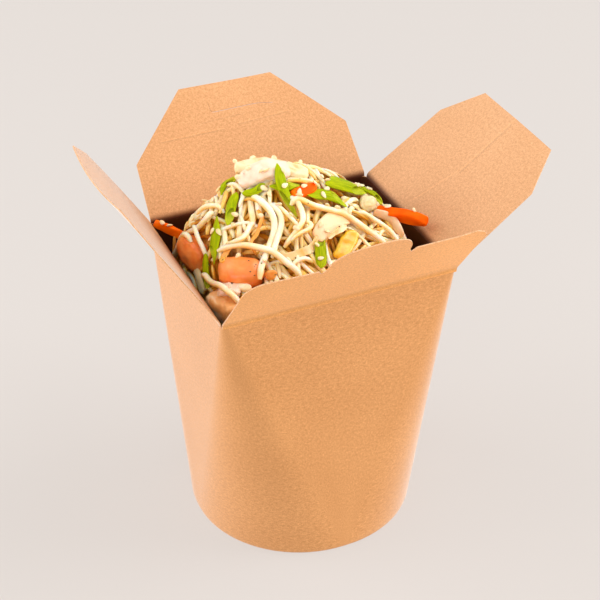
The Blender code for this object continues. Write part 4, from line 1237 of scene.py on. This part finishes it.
def steps_from_end(count):
    """How many steps each of count places along a strand is from its nearer end."""
    steps = np.arange(count)
    return np.minimum(steps, steps[::-1])


def dipped(height, reach=0.005, drop=0.0020):
    """The same heights with both ends turned down between the others."""
    end = steps_from_end(len(height)) * STRAND_STEP
    return height - drop * np.clip(1 - end / reach, 0, 1) ** 2


def strand_rings(route, radius, sides=STRAND_SIDES, flatness=0.94):
    """Rings of a noodle: a circle, or a flattened one, carried along a route, its ends rounded."""
    way = unit(np.gradient(route, axis=0))
    across = unit(np.cross(way, np.array([0.0, 0.0, 1.0])))
    above = np.cross(across, way)
    angle = 2 * math.pi * np.arange(sides) / sides
    end = steps_from_end(len(route))
    size = radius * np.where(end == 0, 0.55, np.where(end == 1, 0.95, 1.0))[:, None, None]
    return (route[:, None] + across[:, None] * size * np.cos(angle)[:, None]
            + above[:, None] * size * flatness * np.sin(angle)[:, None])


def wandering_path(numbers, length, heading, bend):
    """A path on the flat through its middle: the heading turns by two slow waves and a steady bend."""
    s = np.arange(-length / 2, length / 2, STRAND_STEP)
    phase = numbers.uniform(0, 2 * math.pi, 2)
    heading = (heading + bend * s + 0.5 * np.sin(s / 0.014 + phase[0])
               + 0.12 * np.sin(s / 0.006 + phase[1]))
    steps = np.stack([np.cos(heading), np.sin(heading)], -1) * STRAND_STEP
    path = np.cumsum(steps, axis=0)
    return path - path[len(path) // 2]


def room_for_noodles(x, y):
    """Inside the wall by a margin, which is wider at the back left corner and along the right."""
    margin = 0.0018 + 0.0100 * np.exp(-((x + 0.037) ** 2 + (y - 0.031) ** 2) / 0.013 ** 2)
    margin += 0.0060 * np.clip((x - 0.028) / 0.012, 0, 1)
    return wall_distance(x, y) > margin


def longest_run(good):
    """First and last index of the longest unbroken run of True."""
    edges = np.flatnonzero(np.diff(np.concatenate([[0], good.astype(int), [0]])))
    starts, ends = edges[::2], edges[1::2]
    if not len(starts):
        return 0, 0
    best = np.argmax(ends - starts)
    return starts[best], ends[best]


def join_strands(name, strands, finish):
    """Strands of a kind as one piece: its own tone in strand, and in sauce how deep it lies, for colour from
    sauce and painted shade.
    """
    points, faces, tones, count = [], [], [], 0
    for rings, tone in strands:
        own_points, own_faces = close_ends(rings)
        points.append(own_points)
        faces += [[index + count for index in face] for face in own_faces]
        tones.append(np.full(len(own_points), tone))
        count += len(own_points)
    points = np.concatenate(points)
    piece = add_piece(name, points, faces, [finish])
    # How deep a point lies below the noodles' top darkens it: partly sauce, partly painted shade.
    deep = np.clip((heap_level(points[:, 0], points[:, 1]) - points[:, 2]) / SAUCE_AND_SHADE_DEPTH, 0.0, 1.0)
    for label, values in (("strand", np.concatenate(tones)), ("sauce", deep)):
        attribute = piece.data.attributes.new(label, "FLOAT", "POINT")
        attribute.data.foreach_set("value", values.astype(np.float32))
    piece.data.flip_normals()
    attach(piece, "carton")
    return piece


noodle = noodle_finish()
numbers = np.random.default_rng(41)
loose = []
for _ in range(LOOSE_TRIES):
    if len(loose) >= LOOSE_STRANDS:
        break
    radius = STRAND_RADIUS * numbers.choice([0.66, 0.80, 0.95, 1.08], p=[0.2, 0.3, 0.3, 0.2])
    places = numbers.uniform((-0.043, -0.037), (0.042, 0.037), (10, 2))
    empty = heap_level(*places.T) - settled_at(*places.T) - (wall_distance(*places.T) < 0.002)
    place = places[np.argmax(empty)]
    outward = math.atan2(place[1] - HEAP_TOP[1], place[0] - HEAP_TOP[0])
    middle = place + wandering_path(numbers, numbers.uniform(0.028, 0.100),
                                    outward + numbers.normal(0.0, 0.8), numbers.uniform(-25, 25))
    way = unit(np.gradient(middle, axis=0))
    side = np.stack([-way[:, 1], way[:, 0]], -1)
    tone = numbers.uniform(0.0, 1.0)
    for lane in range(numbers.choice([1, 2, 3], p=[0.5, 0.35, 0.15])):
        path = middle + side * radius * 2.1 * lane
        start, end = longest_run(room_for_noodles(path[:, 0], path[:, 1]))
        path = path[start:end]
        if len(path) < SHORTEST_STRAND:
            continue
        height = let_down(path, radius, radius, 0.5 * radius)
        over = height + radius - heap_level(path[:, 0], path[:, 1])
        below = height + radius < crowded[cells(path[:, 0], path[:, 1])] + STRAND_SQUEEZE
        start, end = longest_run(below & (over < STRAND_PROUD))
        path = path[start:end]
        if len(path) < SHORTEST_STRAND:
            continue
        height = let_down(path, radius, radius, 0.5 * radius)
        rings = strand_rings(np.column_stack([path, dipped(height)]), radius)
        loose.append((rings, np.clip(tone + numbers.normal(0.0, 0.15), 0.0, 1.0)))
        settle(settled, rings)
share = len(loose) // 3
join_strands("noodles_lower", loose[:share], noodle)
join_strands("noodles_middle", loose[share:2 * share], noodle)
join_strands("noodles_upper", loose[2 * share:], noodle)


# ---------------------------------------------------------------------------------------------
# Shreds: strips of cabbage and onion, soft and half clear, and thin strips of carrot, between the
# noodles. Each route is given on the flat, in millimetres from the foot's centre.

CABBAGE_SHREDS = [  # route, half width, half thickness, roll
    ([(-17.5, -15.8), (-14.9, -20.7), (-8.0, -21.2), (-3.6, -20.0), (-0.6, -17.6)],
     0.0016, 0.00045, -0.35),
    ([(3.0, -18.8), (8.2, -16.8), (12.4, -15.4)], 0.0011, 0.00045, -0.3),
    ([(18.0, -2.5), (23.0, -4.5), (27.0, -9.5)], 0.0019, 0.00045, 0.3),
    ([(17.0, 12.5), (24.5, 13.5), (31.0, 10.5)], 0.0021, 0.00045, -0.2),
    ([(-24.0, 19.0), (-17.0, 22.5), (-9.0, 21.5)], 0.0022, 0.00045, 0.3),
    ([(-31.0, 11.0), (-33.5, 16.0), (-33.0, 22.0)], 0.0020, 0.00045, 0.2),
    ([(12.0, -23.0), (19.0, -24.5), (26.0, -22.5)], 0.0020, 0.00045, -0.3),
]
GOLDEN_SHREDS = [
    ([(-18.6, -5.0), (-17.4, -8.6), (-17.2, -11.4)], 0.0007, 0.00060, 0.2),
    ([(-36.4, -15.4), (-34.0, -11.6), (-30.6, -9.8)], 0.0012, 0.00060, 0.2),
]
CARROT_SHREDS = [
    ([(-17.2, -7.0), (-20.8, -10.4), (-24.3, -12.5), (-23.3, -15.1)], 0.0007, 0.00060, 0.4),
    ([(8.0, 15.0), (13.0, 17.5), (18.0, 16.5)], 0.0009, 0.00070, 0.4),
    ([(20.0, -11.0), (24.0, -14.5), (27.0, -19.0)], 0.0009, 0.00070, 0.4),
    ([(-20.0, -25.6), (-21.8, -25.0), (-23.4, -24.2)], 0.0017, 0.00120, 0.4),
    ([(-42.2, 22.0), (-41.2, 24.6), (-39.6, 26.6)], 0.0010, 0.00070, 0.4),
]
shred_finishes = {
    "cabbage": food_finish("soft_cabbage", [(0.3, (0.88, 0.52, 0.16)), (0.5, (0.93, 0.70, 0.38)),
                                            (0.75, (0.95, 0.78, 0.52))], 150.0, 0.26, 0.5, coat=0.15),
    "golden": food_finish("golden_onion", [(0.3, (0.80, 0.30, 0.02)), (0.7, (0.90, 0.48, 0.08))],
                          200.0, 0.24, 0.3, coat=0.2),
    "carrot": food_finish("carrot_shred", [(0.3, (0.86, 0.28, 0.02)), (0.7, (0.92, 0.46, 0.10))],
                          200.0, 0.30, 0.3),
}
for rings in toppings.values():
    settle(settled, rings)
for kind, shreds, slot_name in (("cabbage", CABBAGE_SHREDS, "cabbage"),
                                ("golden", GOLDEN_SHREDS, "cabbage"),
                                ("carrot", CARROT_SHREDS, "carrot")):
    made = []
    for points, half_width, half_thickness, roll in shreds:
        path = smooth_route(np.array(points) / 1000.0, ROUTE_ROWS)
        height = let_down(path, half_width, half_thickness, 0.0012)
        route = np.column_stack([path, height])[::6]
        rings = slice_piece(route, half_width, half_thickness, start=0.5, end=0.4, squareness=2.4,
                            roll=roll, rough=0.00012, wave_length=0.005, curl=0.0004)
        made.append((rings, 0.0))
        settle(settled, rings)
    join_strands(kind + "_shreds", made, shred_finishes[kind])


# ---------------------------------------------------------------------------------------------
# The noodles on top: the strands that lie over the rest, each given by a few places on the flat,
# in millimetres from the foot's centre, and its thickness beside the common one.

TOP_STRANDS = [
    ([(-18.4, 0.2), (-16.7, -4.8), (-14.7, -8.1), (-14.4, -10.8), (-15.4, -13.0), (-17.2, -14.7),
      (-19.5, -17.1), (-22.0, -20.0), (-24.6, -23.1), (-26.6, -26.2)], 1.12),
    ([(-14.6, -3.0), (-12.6, -7.9), (-11.6, -10.5), (-12.6, -12.9), (-14.4, -15.0), (-16.6, -17.3),
      (-19.4, -20.6)], 1.0),
    ([(-14.4, -4.0), (-10.6, -9.3), (-7.6, -14.0), (-6.0, -17.0)], 0.72),
    ([(-6.4, -5.0), (-4.3, -9.4), (-4.1, -12.9), (-5.7, -15.6), (-9.0, -17.2), (-13.6, -17.9)], 0.95),
    ([(-3.9, -13.6), (-2.7, -17.1), (-4.0, -18.7), (-7.1, -18.9), (-11.0, -18.6)], 0.72),
    ([(-6.8, -8.4), (-3.4, -8.1), (1.0, -9.2), (5.2, -9.8), (8.6, -10.5), (13.4, -11.3), (17.8, -14.0),
      (21.6, -16.7), (26.1, -20.3)], 1.08),
    ([(-35.6, -8.8), (-29.1, -12.0), (-25.2, -14.6), (-21.5, -17.8), (-18.2, -21.0), (-15.6, -24.6),
      (-13.4, -26.9), (-11.9, -29.0)], 1.12),
    ([(-20.0, -6.6), (-23.3, -9.3), (-25.5, -11.4), (-28.2, -12.0), (-33.0, -9.4)], 0.85),
    ([(-41.8, 22.4), (-40.3, 17.6), (-38.3, 8.1), (-34.7, 4.8), (-30.4, 5.8)], 1.0),
    ([(-37.6, 10.4), (-38.8, 4.7), (-38.9, 0.1), (-38.5, -5.0)], 0.8),
    ([(-43.2, 21.0), (-42.3, 13.0), (-41.0, 3.6)], 0.95),
    ([(-36.2, 10.4), (-33.2, 8.5), (-30.1, 5.5), (-28.4, 2.4)], 0.9),
    ([(-41.2, -7.4), (-41.1, -13.4), (-40.2, -19.6), (-38.7, -25.3), (-35.6, -29.6)], 1.0),
    ([(25.0, -16.6), (26.6, -14.4), (29.4, -13.4), (32.2, -16.4)], 0.72),
    ([(19.6, -6.8), (24.0, -8.6), (29.0, -12.6), (32.4, -18.6)], 0.8),
    ([(-14.0, -24.4), (-9.0, -24.0), (-4.8, -23.4)], 0.8),
]
top = []
for points, thickness in TOP_STRANDS:
    points = np.array(points) / 1000.0
    length = np.linalg.norm(np.diff(points, axis=0), axis=1).sum()
    path = smooth_route(points, int(length / STRAND_STEP) + 2)
    radius = STRAND_RADIUS * thickness
    height = let_down(path, radius, radius, 0.3 * radius)
    rings = strand_rings(np.column_stack([path, dipped(height, drop=0.0028)]), radius, sides=12)
    top.append((rings, numbers.uniform(0.0, 0.3)))
    settle(settled, rings)
join_strands("noodles_on_top", top, noodle)


# ---------------------------------------------------------------------------------------------
# Sesame seeds: hulled seeds, drop-shaped and cream, scattered over the food before serving.

SEED_LENGTH = 0.0029
SEED_WIDTH = 0.0018
SEED_THICKNESS = 0.0009
SEED_COUNT = 45
SCATTER_LOW, SCATTER_HIGH = (-0.042, -0.034), (0.038, 0.034)
PLACED_SEEDS = [(-28.2, 10.2), (-14.6, 2.9), (-12.6, 2.3), (-13.3, -1.5), (-12.1, -4.1), (-6.2, -5.1),
                (-19.4, -8.8), (-36.2, -2.0), (-29.4, -16.3), (-33.2, -9.2), (-7.4, -12.1), (6.5, -1.3),
                (1.8, -4.1), (8.9, -5.6), (35.2, 2.6), (34.8, 10.3), (-18.7, 16.0), (-13.7, 14.0),
                (43.6, -10.6), (35.0, -5.0), (-42.0, 31.2), (-39.8, 28.6), (-39.0, 21.0), (-18.0, 6.0),
                (18.0, -1.0), (13.0, 0.0)]
seed_finish = food_finish("sesame_seed", [(0.3, (0.88, 0.60, 0.28)), (0.6, (0.94, 0.78, 0.50))],
                          400.0, 0.38, 0.35)


def seed_rings(length, width, thickness):
    """A drop: rings along its length, widest past the middle, narrowing to a point."""
    polar = np.linspace(0.15, math.pi - 0.12, 8)[:, None]
    angle = 2 * math.pi * np.arange(8)[None] / 8
    narrow = np.sin(polar) * (1 - 0.32 * np.cos(polar))
    return np.stack([length / 2 * np.cos(polar) + 0 * angle, width / 2 * narrow * np.cos(angle),
                     thickness / 2 * narrow * np.sin(angle)], -1)


def rest_on_food(rings, x, y, turn, lift):
    """Lays a small thing flat on the settled food at a place, turned about the slope's normal."""
    reach = 0.0012
    slope_x = (settled_at(x + reach, y) - settled_at(x - reach, y)) / (2 * reach)
    slope_y = (settled_at(x, y + reach) - settled_at(x, y - reach)) / (2 * reach)
    slope = np.clip([slope_x, slope_y], -1.2, 1.2)
    normal = unit(np.array([-slope[0], -slope[1], 1.0]))
    along = unit(np.cross(np.cross(normal, [math.cos(turn), math.sin(turn), 0.0]), normal))
    basis = np.stack([along, np.cross(normal, along), normal])
    return rings @ basis + np.array([x, y, settled_at(x, y) + lift])


def high_spot(x, y, reach=0.0010):
    """The highest of the settled places within reach, where a small thing comes to rest."""
    around = np.linspace(-reach, reach, 5)
    near_x, near_y = np.meshgrid(x + around, y + around)
    best = np.argmax(settled_at(near_x, near_y))
    return near_x.flat[best], near_y.flat[best]


def scattered(tries):
    """Seeded places over the food, less those that fall into the gaps along the wall."""
    places = numbers.uniform(SCATTER_LOW, SCATTER_HIGH, (tries, 2))
    return places[room_for_noodles(places[:, 0], places[:, 1])]


seeds = []
for x, y in np.concatenate([np.array(PLACED_SEEDS) / 1000.0, scattered(400)[:SEED_COUNT]]):
    size = numbers.uniform(0.8, 1.05)
    rings = seed_rings(SEED_LENGTH * size, SEED_WIDTH * size, SEED_THICKNESS)
    x, y = high_spot(x, y)
    seeds.append((rest_on_food(rings, x, y, numbers.uniform(0, 2 * math.pi), 0.0003),
                  numbers.uniform(0, 1)))
join_strands("sesame_seeds", seeds, seed_finish)


# ---------------------------------------------------------------------------------------------
# Ground pepper: dark crumbs, under a millimetre across, on the noodles and the chicken.

PEPPER_COUNT = 110
pepper_finish = food_finish("ground_pepper", [(0.3, (0.05, 0.025, 0.008)), (0.7, (0.22, 0.13, 0.03))],
                            900.0, 0.6, 0.0)
crumbs = []
for x, y in scattered(600)[:PEPPER_COUNT]:
    size = numbers.uniform(0.0003, 0.0008)
    rings = seed_rings(size, size * numbers.uniform(0.5, 1.0), size * 0.5)
    crumbs.append((rest_on_food(rings, x, y, numbers.uniform(0, 2 * math.pi), 0.0001), 0.0))
join_strands("pepper_crumbs", crumbs, pepper_finish)
